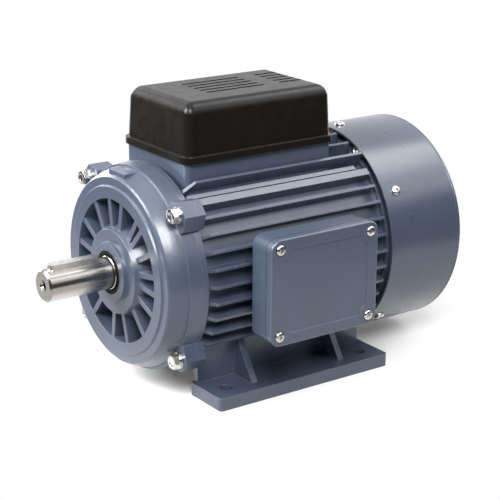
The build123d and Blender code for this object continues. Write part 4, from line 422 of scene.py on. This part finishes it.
def mix_inner_finishes():
    """The finishes of the pieces inside the motor, its cover and its box."""
    FINISHES.update(
        bearing=turned_steel("bearing_steel", (0.78, 0.78, 0.79), roughness=0.10, pitch=0.15 * MM),
        spring=drawn_metal("spring_steel", (0.50, 0.48, 0.44), roughness=0.34),
        core=stacked_sheets("core_sheets", (0.30, 0.30, 0.32), sheet=0.5 * MM),
        winding=varnished_wire("varnished_wire", (0.45, 0.15, 0.05), wire=1.2083 * MM),
        cage=cast_metal("cast_aluminium", (0.66, 0.66, 0.68), grain=0.8 * MM),
        fan=moulded_plastic(
            "fan_plastic", (0.015, 0.015, 0.016), grain=0.6 * MM, depth=0.02 * MM, roughness=0.5,
        ),
        start_can=moulded_plastic(
            "start_capacitor_case", (0.012, 0.012, 0.014), grain=1.5 * MM, depth=0.015 * MM, roughness=0.24,
        ),
        run_can=moulded_plastic(
            "run_capacitor_case", (0.62, 0.62, 0.58), grain=1.5 * MM, depth=0.015 * MM, roughness=0.28,
        ),
        cradle=moulded_plastic(
            "cradle_plastic", (0.16, 0.16, 0.15), grain=0.6 * MM, depth=0.03 * MM, roughness=0.5,
        ),
        board=pressed_board("resin_board", (0.075, 0.035, 0.020)),
        brass=drawn_metal("drawn_brass", (0.72, 0.50, 0.22), roughness=0.26),
        nylon=clear_nylon("natural_nylon", (0.72, 0.68, 0.56)),
        silver=drawn_metal("contact_silver", (0.86, 0.85, 0.82), roughness=0.18),
    )


def dress(*finishes):
    """Puts finishes on the solids that wear them."""
    for finish in finishes:
        for name in WEARERS[finish]:
            solid = NODES[name]
            if not solid.material_slots:
                solid.data.materials.append(FINISHES[finish])
            for entry in solid.material_slots:
                entry.material = FINISHES[finish]


# ---------------------------------------------------------------- fasteners
# Sizes and seats in millimetres: a seat is where a head bears and the way that it points
PAN_RADIUS, PAN_HEIGHT, M4_RADIUS = 3.98, 2.38, 1.9
LID_FACE, LID_SCREW_X, LID_SCREW_Z = -114.4, (-48.2, 32.4), (60.45, 124.75)
LID_SEATS = [((x, LID_FACE, z), (0, -1, 0)) for x in LID_SCREW_X for z in LID_SCREW_Z]
COWL_RADIUS, COWL_SCREW_X, COWL_ANGLES = 82.8, 94.3, (90.0, 32.7, 147.3, -47.4, -132.6)
COVER_REAR, COVER_SCREW_Y, COVER_SCREW_Z = 52.5, 20, 183.0
COVER_SEATS = [((COVER_REAR, y, COVER_SCREW_Z), (1, 0, 0)) for y in (-COVER_SCREW_Y, COVER_SCREW_Y)]
LUG_FACE, LUG_Y, LUG_Z = -101.2, 62.3, (37.0, 145.5)
LUG_SEATS = [((LUG_FACE, y, z), (-1, 0, 0)) for y in (-LUG_Y, LUG_Y) for z in LUG_Z]
EAR_FACE, EAR_Y, EAR_Z = 82.4, 34.28, (22.73, 157.27)
EAR_SEATS = [((EAR_FACE, y, z), (-1, 0, 0)) for y in (-EAR_Y, EAR_Y) for z in EAR_Z]

THREAD_PITCH = 0.7 * MM
THREAD_DEPTH = 0.12  # share of the shank's radius
SHANK_SIDES, SHANK_STEPS = 16, 24
SHARP_ANGLE = radians(32)

HEAD_RINGS = 24
NEAR_AXIS = 0.001  # keeps the powers below away from nought
PAN_SIDE, PAN_CROWN = -0.5, 0.8  # powers that square a ball off into a pan
RECESS_LENGTH, RECESS_WIDTH = 1.15, 0.32  # shares of the head's radius
RECESS_TAPER = 0.5  # the recess's foot over its mouth
RECESS_OVER = 0.5 * MM  # how far the cutter stands over the head

CHAMFER_SIDES, CHAMFER_ANGLE = 48, radians(30)
TOP_FLAT = 0.97  # round top of a hexagon head over its flats
DISH_WIDTH = 0.68  # the dish over the flats
DISH_SEGMENTS, DISH_RINGS = 32, 16

COMMON_INPUTS = {
    "Head Height": "NodeSocketFloat", "Shank Radius": "NodeSocketFloat", "Shank Length": "NodeSocketFloat",
    "Turn Seed": "NodeSocketInt", "Material": "NodeSocketMaterial",
}


class Tree:
    """A Geometry Nodes tree in the making, with named inputs."""

    def __init__(self, name, inputs):
        self.tree = bpy.data.node_groups.new(name, "GeometryNodeTree")
        self.tree.interface.new_socket("Geometry", in_out="INPUT", socket_type="NodeSocketGeometry")
        self.tree.interface.new_socket("Geometry", in_out="OUTPUT", socket_type="NodeSocketGeometry")
        for key, kind in inputs.items():
            self.tree.interface.new_socket(key, in_out="INPUT", socket_type=kind)
        self.inputs = self.tree.nodes.new("NodeGroupInput").outputs
        self.result = self.tree.nodes.new("NodeGroupOutput").inputs["Geometry"]

    def add(self, kind, links=None, **settings):
        """A node, with inputs by name or number and settings by attribute; gives its outputs."""
        node = self.tree.nodes.new(kind)
        for key, value in settings.items():
            setattr(node, key, value)
        for key, value in (links or {}).items():
            for entry in value if isinstance(value, list) else [value]:
                if isinstance(entry, bpy.types.NodeSocket):
                    self.tree.links.new(entry, node.inputs[key])
                else:
                    node.inputs[key].default_value = entry
        return node.outputs

    def sum(self, operation, *values):
        """A sum over numbers and sockets."""
        return self.add("ShaderNodeMath", dict(enumerate(values)), operation=operation)[0]

    def vector(self, x, y, z):
        return self.add("ShaderNodeCombineXYZ", {"X": x, "Y": y, "Z": z})[0]

    def place(self):
        """Where each vertex is, as a vector and as its parts."""
        place = self.add("GeometryNodeInputPosition")[0]
        return place, self.add("ShaderNodeSeparateXYZ", {0: place})

    def reshaped(self, mesh, place, share, rise):
        """A mesh scaled across by a share and lifted along Z."""
        across = self.vector(share, share, 1.0)
        shape = self.add("ShaderNodeVectorMath", {0: place, 1: across}, operation="MULTIPLY")[0]
        lift = self.vector(0.0, 0.0, rise)
        placed = self.add("ShaderNodeVectorMath", {0: shape, 1: lift}, operation="ADD")[0]
        return self.add("GeometryNodeSetPosition", {"Geometry": mesh, "Position": placed})[0]

    def box(self, length, width, bottom, top):
        """An upright box, narrower towards its foot."""
        height = self.sum("SUBTRACT", top, bottom)
        cube = self.add("GeometryNodeMeshCube", {"Size": self.vector(length, width, height)})["Mesh"]
        place, parts = self.place()
        share = self.add("ShaderNodeMapRange", {
            "Value": parts["Z"], "From Min": self.sum("MULTIPLY", height, -0.5),
            "From Max": self.sum("MULTIPLY", height, 0.5), "To Min": RECESS_TAPER, "To Max": 1.0,
        })["Result"]
        middle = self.sum("MULTIPLY", self.sum("ADD", top, bottom), 0.5)
        return self.reshaped(cube, place, share, middle)

    def shank(self):
        """A threaded shank down from the head, its top inside the head."""
        length = self.inputs["Shank Length"]
        cylinder = self.add("GeometryNodeMeshCylinder", {
            "Vertices": SHANK_SIDES, "Side Segments": SHANK_STEPS,
            "Radius": self.inputs["Shank Radius"], "Depth": length,
        })["Mesh"]
        place, parts = self.place()
        wave = self.sum("SINE", self.sum("MULTIPLY", parts["Z"], 2 * pi / THREAD_PITCH))
        share = self.sum("MULTIPLY_ADD", wave, 0.5 * THREAD_DEPTH, 1.0 - 0.5 * THREAD_DEPTH)
        middle = self.sum("MULTIPLY_ADD", length, -0.5, THREAD_PITCH)
        return self.reshaped(cylinder, place, share, middle)

    def cut(self, operation, links):
        """A head cut from meshes, closed again all round."""
        return self.add("GeometryNodeMeshBoolean", links, operation=operation, solver="EXACT")["Mesh"]

    def set_out(self, head):
        """Head and shank at every seat, along its outward direction and turned at random."""
        whole = self.add("GeometryNodeJoinGeometry", {0: [self.shank(), head]})[0]
        outward = self.add(
            "GeometryNodeInputNamedAttribute", {"Name": "outward"}, data_type="FLOAT_VECTOR"
        )[0]
        aligned = self.add("FunctionNodeAlignRotationToVector", {"Vector": outward}, axis="Z")[0]
        turns = self.add(
            "FunctionNodeRandomValue", {"Min": 0.0, "Max": 2 * pi, "Seed": self.inputs["Turn Seed"]},
            data_type="FLOAT",
        )
        turn = next(entry for entry in turns if entry.enabled)
        spin = self.add("FunctionNodeAxisAngleToRotation", {"Axis": (0.0, 0.0, 1.0), "Angle": turn})[0]
        rotation = self.add("FunctionNodeRotateRotation", {0: aligned, 1: spin}, rotation_space="LOCAL")[0]
        placed = self.add(
            "GeometryNodeInstanceOnPoints",
            {"Points": self.inputs["Geometry"], "Instance": whole, "Rotation": rotation},
        )[0]
        real = self.add("GeometryNodeRealizeInstances", {0: placed})[0]
        links = {"Geometry": real, "Material": self.inputs["Material"]}
        self.tree.links.new(self.add("GeometryNodeSetMaterial", links)[0], self.result)
        return self.tree


def pan_head_tree():
    """Pan heads with a cross recess."""
    tree = Tree("pan head screws", {
        "Head Radius": "NodeSocketFloat", "Recess Depth": "NodeSocketFloat", "Segments": "NodeSocketInt",
        **COMMON_INPUTS,
    })
    radius, height = tree.inputs["Head Radius"], tree.inputs["Head Height"]
    links = {"Segments": tree.inputs["Segments"], "Rings": HEAD_RINGS, "Radius": 1.0}
    ball = tree.add("GeometryNodeMeshUVSphere", links)["Mesh"]
    parts = tree.place()[1]
    # A ball squared off into a pan: steep sides, a low crown and a flat underside
    across = tree.vector(parts["X"], parts["Y"], 0.0)
    off_axis = tree.add("ShaderNodeVectorMath", {0: across}, operation="LENGTH")["Value"]
    spread = tree.sum("POWER", tree.sum("MAXIMUM", off_axis, NEAR_AXIS), PAN_SIDE)
    spread = tree.sum("MULTIPLY", spread, radius)
    rise = tree.sum("POWER", tree.sum("MAXIMUM", parts["Z"], 0.0), PAN_CROWN)
    rise = tree.sum("MULTIPLY", rise, height)
    x, y = tree.sum("MULTIPLY", parts["X"], spread), tree.sum("MULTIPLY", parts["Y"], spread)
    shaped = {"Geometry": ball, "Position": tree.vector(x, y, rise)}
    pan = tree.add("GeometryNodeSetPosition", shaped)[0]
    bottom = tree.sum("SUBTRACT", height, tree.inputs["Recess Depth"])
    top = tree.sum("ADD", height, RECESS_OVER)
    long, narrow = tree.sum("MULTIPLY", radius, RECESS_LENGTH), tree.sum("MULTIPLY", radius, RECESS_WIDTH)
    arms = [tree.box(long, narrow, bottom, top), tree.box(narrow, long, bottom, top)]
    return tree.set_out(tree.cut("DIFFERENCE", {"Mesh 1": pan, "Mesh 2": arms}))


def hexagon_tree():
    """Hexagon heads with chamfered corners and a shallow dish."""
    tree = Tree("hexagon bolts", {
        "Across Flats": "NodeSocketFloat", "Dish Depth": "NodeSocketFloat", **COMMON_INPUTS,
    })
    height = tree.inputs["Head Height"]
    inner = tree.sum("MULTIPLY", tree.inputs["Across Flats"], 0.5)
    corner = tree.sum("DIVIDE", inner, cos(pi / 6))
    prism = tree.add("GeometryNodeMeshCylinder", {"Vertices": 6, "Radius": corner, "Depth": height})["Mesh"]
    lift = tree.vector(0.0, 0.0, tree.sum("MULTIPLY", height, 0.5))
    prism = tree.add("GeometryNodeTransform", {"Geometry": prism, "Translation": lift})[0]
    # A wide cone, whose slope takes the corners off the top
    flat = tree.sum("MULTIPLY", inner, TOP_FLAT)
    foot = tree.sum("MULTIPLY_ADD", height, 1 / tan(CHAMFER_ANGLE), flat)
    links = {"Vertices": CHAMFER_SIDES, "Radius Top": flat, "Radius Bottom": foot, "Depth": height}
    cone = tree.add("GeometryNodeMeshCone", links)["Mesh"]
    head = tree.cut("INTERSECT", {"Mesh 2": [prism, cone]})
    links = {"Segments": DISH_SEGMENTS, "Rings": DISH_RINGS, "Radius": 1.0}
    ball = tree.add("GeometryNodeMeshUVSphere", links)["Mesh"]
    wide = tree.sum("MULTIPLY", inner, DISH_WIDTH)
    scale = tree.vector(wide, wide, tree.inputs["Dish Depth"])
    links = {"Geometry": ball, "Translation": tree.vector(0.0, 0.0, height), "Scale": scale}
    dish = tree.add("GeometryNodeTransform", links)[0]
    return tree.set_out(tree.cut("DIFFERENCE", {"Mesh 1": head, "Mesh 2": dish}))


def seat_points(name, seats):
    """A point at every seat, with its outward direction."""
    mesh = bpy.data.meshes.new(name)
    mesh.from_pydata([Vector(place) * MM for place, direction in seats], [], [])
    outward = mesh.attributes.new("outward", "FLOAT_VECTOR", "POINT")
    for entry, (place, direction) in zip(outward.data, seats):
        entry.vector = direction
    maker = bpy.data.objects.new(name + "_maker", mesh)
    bpy.context.scene.collection.objects.link(maker)
    return maker


def plain_mesh(name, maker, tree, values):
    """What a tree makes at the points, as a plain mesh; the maker goes."""
    modifier = maker.modifiers.new("fasteners", "NODES")
    modifier.node_group = tree
    for socket in tree.interface.items_tree:
        if socket.in_out == "INPUT" and socket.name in values:
            modifier[socket.identifier] = values[socket.name]
    maker.update_tag()
    ready = maker.evaluated_get(bpy.context.evaluated_depsgraph_get())
    solid = bpy.data.meshes.new_from_object(ready)
    maker.modifiers.remove(modifier)
    bpy.data.objects.remove(maker)
    if not solid.polygons:
        raise RuntimeError(name + " came out empty")
    solid.name = name
    solid.shade_smooth()
    solid.set_sharp_from_angle(angle=SHARP_ANGLE)
    return solid


def drive_in(name, tree, seats, node, **sizes):
    """Fasteners at their seats, in place of a CAD node."""
    seed = bpy.context.scene.motor_sizes.turn_seed
    values = {"Turn Seed": seed, "Material": FINISHES["zinc"], **sizes}
    piece = bpy.data.objects.new(name, plain_mesh(name, seat_points(name, seats), tree, values))
    bpy.context.scene.collection.objects.link(piece)
    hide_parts(node)
    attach(piece, "stator")


def pan_screws(name, node, seats, shank_length):
    """Pan head screws, all of one size but for their length."""
    sizes = bpy.context.scene.motor_sizes
    tree = bpy.data.node_groups.get("pan head screws") or pan_head_tree()
    drive_in(name, tree, seats, node, **{
        "Head Radius": PAN_RADIUS * MM, "Head Height": PAN_HEIGHT * MM, "Recess Depth": sizes.recess_depth,
        "Segments": sizes.head_segments, "Shank Radius": M4_RADIUS * MM, "Shank Length": shank_length * MM,
    })


def hexagon_bolts(name, node, seats, flats, height, shank_radius, shank_length):
    """Hexagon bolts of one size, in millimetres."""
    sizes = bpy.context.scene.motor_sizes
    tree = bpy.data.node_groups.get("hexagon bolts") or hexagon_tree()
    drive_in(name, tree, seats, node, **{
        "Across Flats": flats * MM, "Head Height": height * MM, "Dish Depth": sizes.dish_depth,
        "Shank Radius": shank_radius * MM, "Shank Length": shank_length * MM,
    })


# ---------------------------------------------------------------- stage
WHITE = (1, 1, 1, 1)
WORLD_LIGHT = 0.08  # strength of the surroundings as a light

FLOOR_REACH = 6.0
FLOOR_RETURN = 0.4  # share of the floor's colour that lights the motor from below
SHADOW_LENGTH, SHADOW_WIDTH = 0.24, 0.125  # halves of where the floor keeps its shadow
SHADOW_CENTRE = (0.015, 0.010, 0)
SHADOW_FADE = (0.55, 1.0)  # shares of that size between which it runs out to white
SHADOW_WHITE = 0.10  # white mixed in under the motor

ROOM_RADIUS, ROOM_HEIGHT = 0.45, 0.26
ROOM_SPAN = range(-150, 81, 10)  # degrees round from straight in front, to the drive end and back

LAMPS = (
    # name, place, width, height, power
    ("left", (-1.21, 0.48, 0.90), 0.8, 0.7, 44.0),
    ("front_left", (-0.62, -1.02, 1.22), 0.8, 0.7, 34.0),
    ("key_right", (1.10, -0.26, 1.62), 0.9, 0.7, 10.0),
    ("fill_right", (1.10, -1.05, 1.25), 1.0, 0.8, 4.0),
    ("overhead", (-0.10, 0.15, 1.50), 1.2, 0.8, 3.0),
    ("behind_left", (-0.05, 1.50, 0.50), 1.0, 0.7, 14.0),
    ("behind_right", (1.45, 0.40, 0.48), 1.0, 0.7, 8.0),
)

CAMERA_AZIMUTH, CAMERA_ELEVATION, CAMERA_ROLL = radians(-35.6), radians(17.98), radians(0.44)
CAMERA_TARGET = Vector((1.63, -8.82, 87.55)) * MM
SENSOR_WIDTH, FOCAL_LENGTH = 36.0, 107.568  # millimetres


def stage_mesh(name, points, faces, material):
    """A piece of the stage, which is no part of the motor."""
    mesh = bpy.data.meshes.new(name)
    mesh.from_pydata(points, [], faces)
    mesh.materials.append(material)
    piece = bpy.data.objects.new(name, mesh)
    bpy.context.scene.collection.objects.link(piece)
    return piece


def pale_floor(colour):
    """White to the camera and in reflections, apart from the shadow near the motor."""
    finish = Finish("pale_floor", colour, roughness=0.9)
    finish.set("Specular IOR Level", 0.1)
    rays = finish.add("ShaderNodeLightPath").outputs
    dimmer = [FLOOR_RETURN * c for c in colour]
    finish.join(finish.mixed(rays["Is Diffuse Ray"], (*colour, 1), (*dimmer, 1)), "Base Color")
    finish.vary_roughness(finish.noise(400 * MM, detail=2), low=0.85, high=0.95)
    seen = finish.sum("MAXIMUM", rays["Is Camera Ray"], rays["Is Glossy Ray"])
    seen = finish.sum("MAXIMUM", seen, rays["Is Transmission Ray"])
    away = finish.length(finish.stretched((1 / SHADOW_LENGTH, 1 / SHADOW_WIDTH, 1), SHADOW_CENTRE))
    links = {"Value": away, "From Min": SHADOW_FADE[0], "From Max": SHADOW_FADE[1]}
    far = finish.add("ShaderNodeMapRange", links, interpolation_type="SMOOTHSTEP").outputs["Result"]
    white = finish.sum("MULTIPLY", finish.spread(far, SHADOW_WHITE, 1.0, 0, 1), seen)
    glow = finish.add("ShaderNodeEmission", {"Color": WHITE, "Strength": 1.0}).outputs[0]
    both = finish.add("ShaderNodeMixShader", {0: white, 1: finish.shader.outputs[0], 2: glow}).outputs[0]
    finish.tree.links.new(both, finish.tree.nodes["Material Output"].inputs["Surface"])
    return finish.material


def dark_cloth():
    """Cloth that gives back next to nothing."""
    finish = Finish("dark_cloth", (0.02, 0.02, 0.02), roughness=0.9)
    finish.tint(finish.noise(50 * MM, detail=2), dark=0.9, light=1.1)
    finish.relief(finish.noise(2 * MM, detail=2), depth=0.3 * MM)
    return finish.material


def lay_floor(colour):
    """A pale floor that runs out to white."""
    far, near = FLOOR_REACH, -FLOOR_REACH
    corners = [(near, near, 0), (far, near, 0), (far, far, 0), (near, far, 0)]
    stage_mesh("floor", corners, [(0, 1, 2, 3)], pale_floor(colour))


def darken_room():
    """The dark room beyond the floor's front and left, which only reflections see."""
    around = [(ROOM_RADIUS * sin(radians(a)), -ROOM_RADIUS * cos(radians(a))) for a in ROOM_SPAN]
    points = [(x, y, z) for x, y in around for z in (0.0, ROOM_HEIGHT)]
    faces = [(2 * i, 2 * i + 2, 2 * i + 3, 2 * i + 1) for i in range(len(around) - 1)]
    room = stage_mesh("dark_room", points, faces, dark_cloth())
    room.visible_camera = False
    room.visible_diffuse = False
    room.visible_shadow = False


def hang_lamps(light):
    """Soft boxes round the motor."""
    middle = Vector((0, 0, SHAFT_HEIGHT))
    for name, place, width, height, power in LAMPS:
        data = bpy.data.lights.new(name, "AREA")
        data.shape = "RECTANGLE"
        data.size, data.size_y = width, height
        data.energy = power * light
        lamp = bpy.data.objects.new(name, data)
        lamp.location = place
        lamp.rotation_euler = (middle - Vector(place)).to_track_quat("-Z", "Y").to_euler()
        bpy.context.scene.collection.objects.link(lamp)


def paint_surroundings(scene):
    """White to the eye, softer as a light."""
    world = bpy.data.worlds.new("surroundings")
    world.use_nodes = True
    scene.world = world
    tree = world.node_tree
    tree.nodes.clear()
    rays = tree.nodes.new("ShaderNodeLightPath")
    seen = rays.outputs["Is Camera Ray"]
    for kind in ("Is Glossy Ray", "Is Transmission Ray"):
        either = tree.nodes.new("ShaderNodeMath")
        either.operation = "MAXIMUM"
        tree.links.new(seen, either.inputs[0])
        tree.links.new(rays.outputs[kind], either.inputs[1])
        seen = either.outputs[0]
    both = tree.nodes.new("ShaderNodeMixShader")
    tree.links.new(seen, both.inputs[0])
    for socket, strength in zip(both.inputs[1:], (WORLD_LIGHT, 1.0)):
        sky = tree.nodes.new("ShaderNodeBackground")
        sky.inputs["Color"].default_value = WHITE
        sky.inputs["Strength"].default_value = strength
        tree.links.new(sky.outputs[0], socket)
    output = tree.nodes.new("ShaderNodeOutputWorld")
    tree.links.new(both.outputs[0], output.inputs["Surface"])


def aim_camera(distance, scene):
    """Camera a little above and off the drive end."""
    level = cos(CAMERA_ELEVATION)
    back = Vector((sin(CAMERA_AZIMUTH) * level, -cos(CAMERA_AZIMUTH) * level, sin(CAMERA_ELEVATION)))
    data = bpy.data.cameras.new("camera")
    data.sensor_width = SENSOR_WIDTH
    data.lens = FOCAL_LENGTH
    camera = bpy.data.objects.new("camera", data)
    camera.location = CAMERA_TARGET + back * distance
    turn = (-back).to_track_quat("-Z", "Y").to_matrix() @ Matrix.Rotation(CAMERA_ROLL, 3, "Z")
    camera.rotation_euler = turn.to_euler()
    scene.collection.objects.link(camera)
    scene.camera = camera
    scene.view_settings.view_transform = "Standard"


# ---------------------------------------------------------------- operators
class MOTOR_OT_mix_finishes(bpy.types.Operator):
    """Every finish, before the solids are dressed"""

    bl_idname = "motor.mix_finishes"
    bl_label = "Mix Finishes"

    def execute(self, context):
        mix_outer_finishes(context.scene.motor_colours, context.scene.motor_sizes)
        mix_inner_finishes()
        return {"FINISHED"}


class MOTOR_OT_dress_castings(bpy.types.Operator):
    """Frame, end shields, terminal box and its lid"""

    bl_idname = "motor.dress_castings"
    bl_label = "Dress Castings"

    def execute(self, context):
        dress("casting")
        return {"FINISHED"}


class MOTOR_OT_dress_covers(bpy.types.Operator):
    """Fan cowl, capacitor cover and the gaskets"""

    bl_idname = "motor.dress_covers"
    bl_label = "Dress Covers"

    def execute(self, context):
        dress("cowl", "cover", "gasket")
        return {"FINISHED"}


class MOTOR_OT_dress_plated_steel(bpy.types.Operator):
    """Screws, bolts, washers and pins"""

    bl_idname = "motor.dress_plated_steel"
    bl_label = "Dress Plated Steel"

    def execute(self, context):
        dress("zinc")
        return {"FINISHED"}


class MOTOR_OT_dress_shaft(bpy.types.Operator):
    """Shaft with its key, seal, fan and bearings"""

    bl_idname = "motor.dress_shaft"
    bl_label = "Dress Shaft"

    def execute(self, context):
        dress("shaft", "key", "seal", "fan", "bearing")
        return {"FINISHED"}


class MOTOR_OT_dress_windings(bpy.types.Operator):
    """Cores, windings and the rotor's cage"""

    bl_idname = "motor.dress_windings"
    bl_label = "Dress Windings"

    def execute(self, context):
        dress("core", "winding", "cage")
        return {"FINISHED"}


class MOTOR_OT_dress_switch(bpy.types.Operator):
    """Centrifugal switch, bearing cages, preload washer and circlip"""

    bl_idname = "motor.dress_switch"
    bl_label = "Dress Switch"

    def execute(self, context):
        dress("spring", "nylon", "silver")
        return {"FINISHED"}


class MOTOR_OT_dress_electrics(bpy.types.Operator):
    """Capacitors on their cradles, boards, studs and links"""

    bl_idname = "motor.dress_electrics"
    bl_label = "Dress Electrics"

    def execute(self, context):
        dress("start_can", "run_can", "cradle", "board", "brass")
        return {"FINISHED"}


class MOTOR_OT_make_lid_screws(bpy.types.Operator):
    """The four screws of the terminal box's lid"""

    bl_idname = "motor.make_lid_screws"
    bl_label = "Make Lid Screws"

    def execute(self, context):
        pan_screws("lid_screw_set", "lid_screws", LID_SEATS, shank_length=14.5)
        return {"FINISHED"}


class MOTOR_OT_make_cowl_screws(bpy.types.Operator):
    """The five screws round the fan cowl"""

    bl_idname = "motor.make_cowl_screws"
    bl_label = "Make Cowl Screws"

    def execute(self, context):
        seats = []
        for angle in COWL_ANGLES:
            y, z = cos(radians(angle)), sin(radians(angle))
            place = (COWL_SCREW_X, COWL_RADIUS * y, SHAFT_HEIGHT / MM + COWL_RADIUS * z)
            seats.append((place, (0, y, z)))
        pan_screws("cowl_screw_set", "cowl_screws", seats, shank_length=9.0)
        return {"FINISHED"}


class MOTOR_OT_make_cover_screws(bpy.types.Operator):
    """The two screws at the rear of the capacitor cover"""

    bl_idname = "motor.make_cover_screws"
    bl_label = "Make Cover Screws"

    def execute(self, context):
        pan_screws("cover_screw_set", "cover_screws", COVER_SEATS, shank_length=10.5)
        return {"FINISHED"}


class MOTOR_OT_make_drive_end_bolts(bpy.types.Operator):
    """The four hexagon bolts of the drive end shield"""

    bl_idname = "motor.make_drive_end_bolts"
    bl_label = "Make Drive End Bolts"

    def execute(self, context):
        hexagon_bolts(
            "drive_end_bolt_set", "drive_end_bolts", LUG_SEATS,
            flats=9.98, height=3.98, shank_radius=2.9, shank_length=18.5,
        )
        return {"FINISHED"}


class MOTOR_OT_make_fan_end_bolts(bpy.types.Operator):
    """The four hexagon bolts of the fan end shield"""

    bl_idname = "motor.make_fan_end_bolts"
    bl_label = "Make Fan End Bolts"

    def execute(self, context):
        hexagon_bolts(
            "fan_end_bolt_set", "fan_end_bolts", EAR_SEATS,
            flats=7.98, height=3.48, shank_radius=2.4, shank_length=12.3,
        )
        return {"FINISHED"}


class MOTOR_OT_set_stage(bpy.types.Operator):
    """Floor, soft lamps, surroundings and camera"""

    bl_idname = "motor.set_stage"
    bl_label = "Set Stage"

    def execute(self, context):
        stage = context.scene.motor_stage
        lay_floor(stage.floor)
        hang_lamps(stage.light)
        darken_room()
        paint_surroundings(context.scene)
        aim_camera(stage.distance, context.scene)
        return {"FINISHED"}


class MOTOR_PT_panel(bpy.types.Panel):
    """Settings and steps of the motor"""

    bl_idname = "MOTOR_PT_panel"
    bl_label = "Capacitor Motor"
    bl_space_type = "VIEW_3D"
    bl_region_type = "UI"
    bl_category = "Motor"

    def draw(self, context):
        layout = self.layout
        for group in GROUPS:
            box = layout.box()
            settings = getattr(context.scene, group)
            for name in settings.__annotations__:
                box.prop(settings, name)
        for step in STEPS:
            layout.operator(step.bl_idname)


GROUPS = {"motor_colours": MotorColours, "motor_sizes": MotorSizes, "motor_stage": MotorStage}
STEPS = (
    MOTOR_OT_mix_finishes, MOTOR_OT_dress_castings, MOTOR_OT_dress_covers, MOTOR_OT_dress_plated_steel,
    MOTOR_OT_dress_shaft, MOTOR_OT_dress_windings, MOTOR_OT_dress_switch, MOTOR_OT_dress_electrics,
    MOTOR_OT_make_lid_screws, MOTOR_OT_make_cowl_screws, MOTOR_OT_make_cover_screws,
    MOTOR_OT_make_drive_end_bolts, MOTOR_OT_make_fan_end_bolts, MOTOR_OT_set_stage,
)


def register():
    for group in GROUPS.values():
        bpy.utils.register_class(group)
    for name, group in GROUPS.items():
        setattr(bpy.types.Scene, name, PointerProperty(type=group))
    for step in STEPS:
        bpy.utils.register_class(step)
    bpy.utils.register_class(MOTOR_PT_panel)


def unregister():
    bpy.utils.unregister_class(MOTOR_PT_panel)
    for step in reversed(STEPS):
        bpy.utils.unregister_class(step)
    for name, group in GROUPS.items():
        delattr(bpy.types.Scene, name)
        bpy.utils.unregister_class(group)


def main():
    """Registers the add-on and runs its steps in order."""
    register()
    for step in STEPS:
        category, name = step.bl_idname.split(".")
        getattr(getattr(bpy.ops, category), name)()


if __name__ == "__main__":
    main()
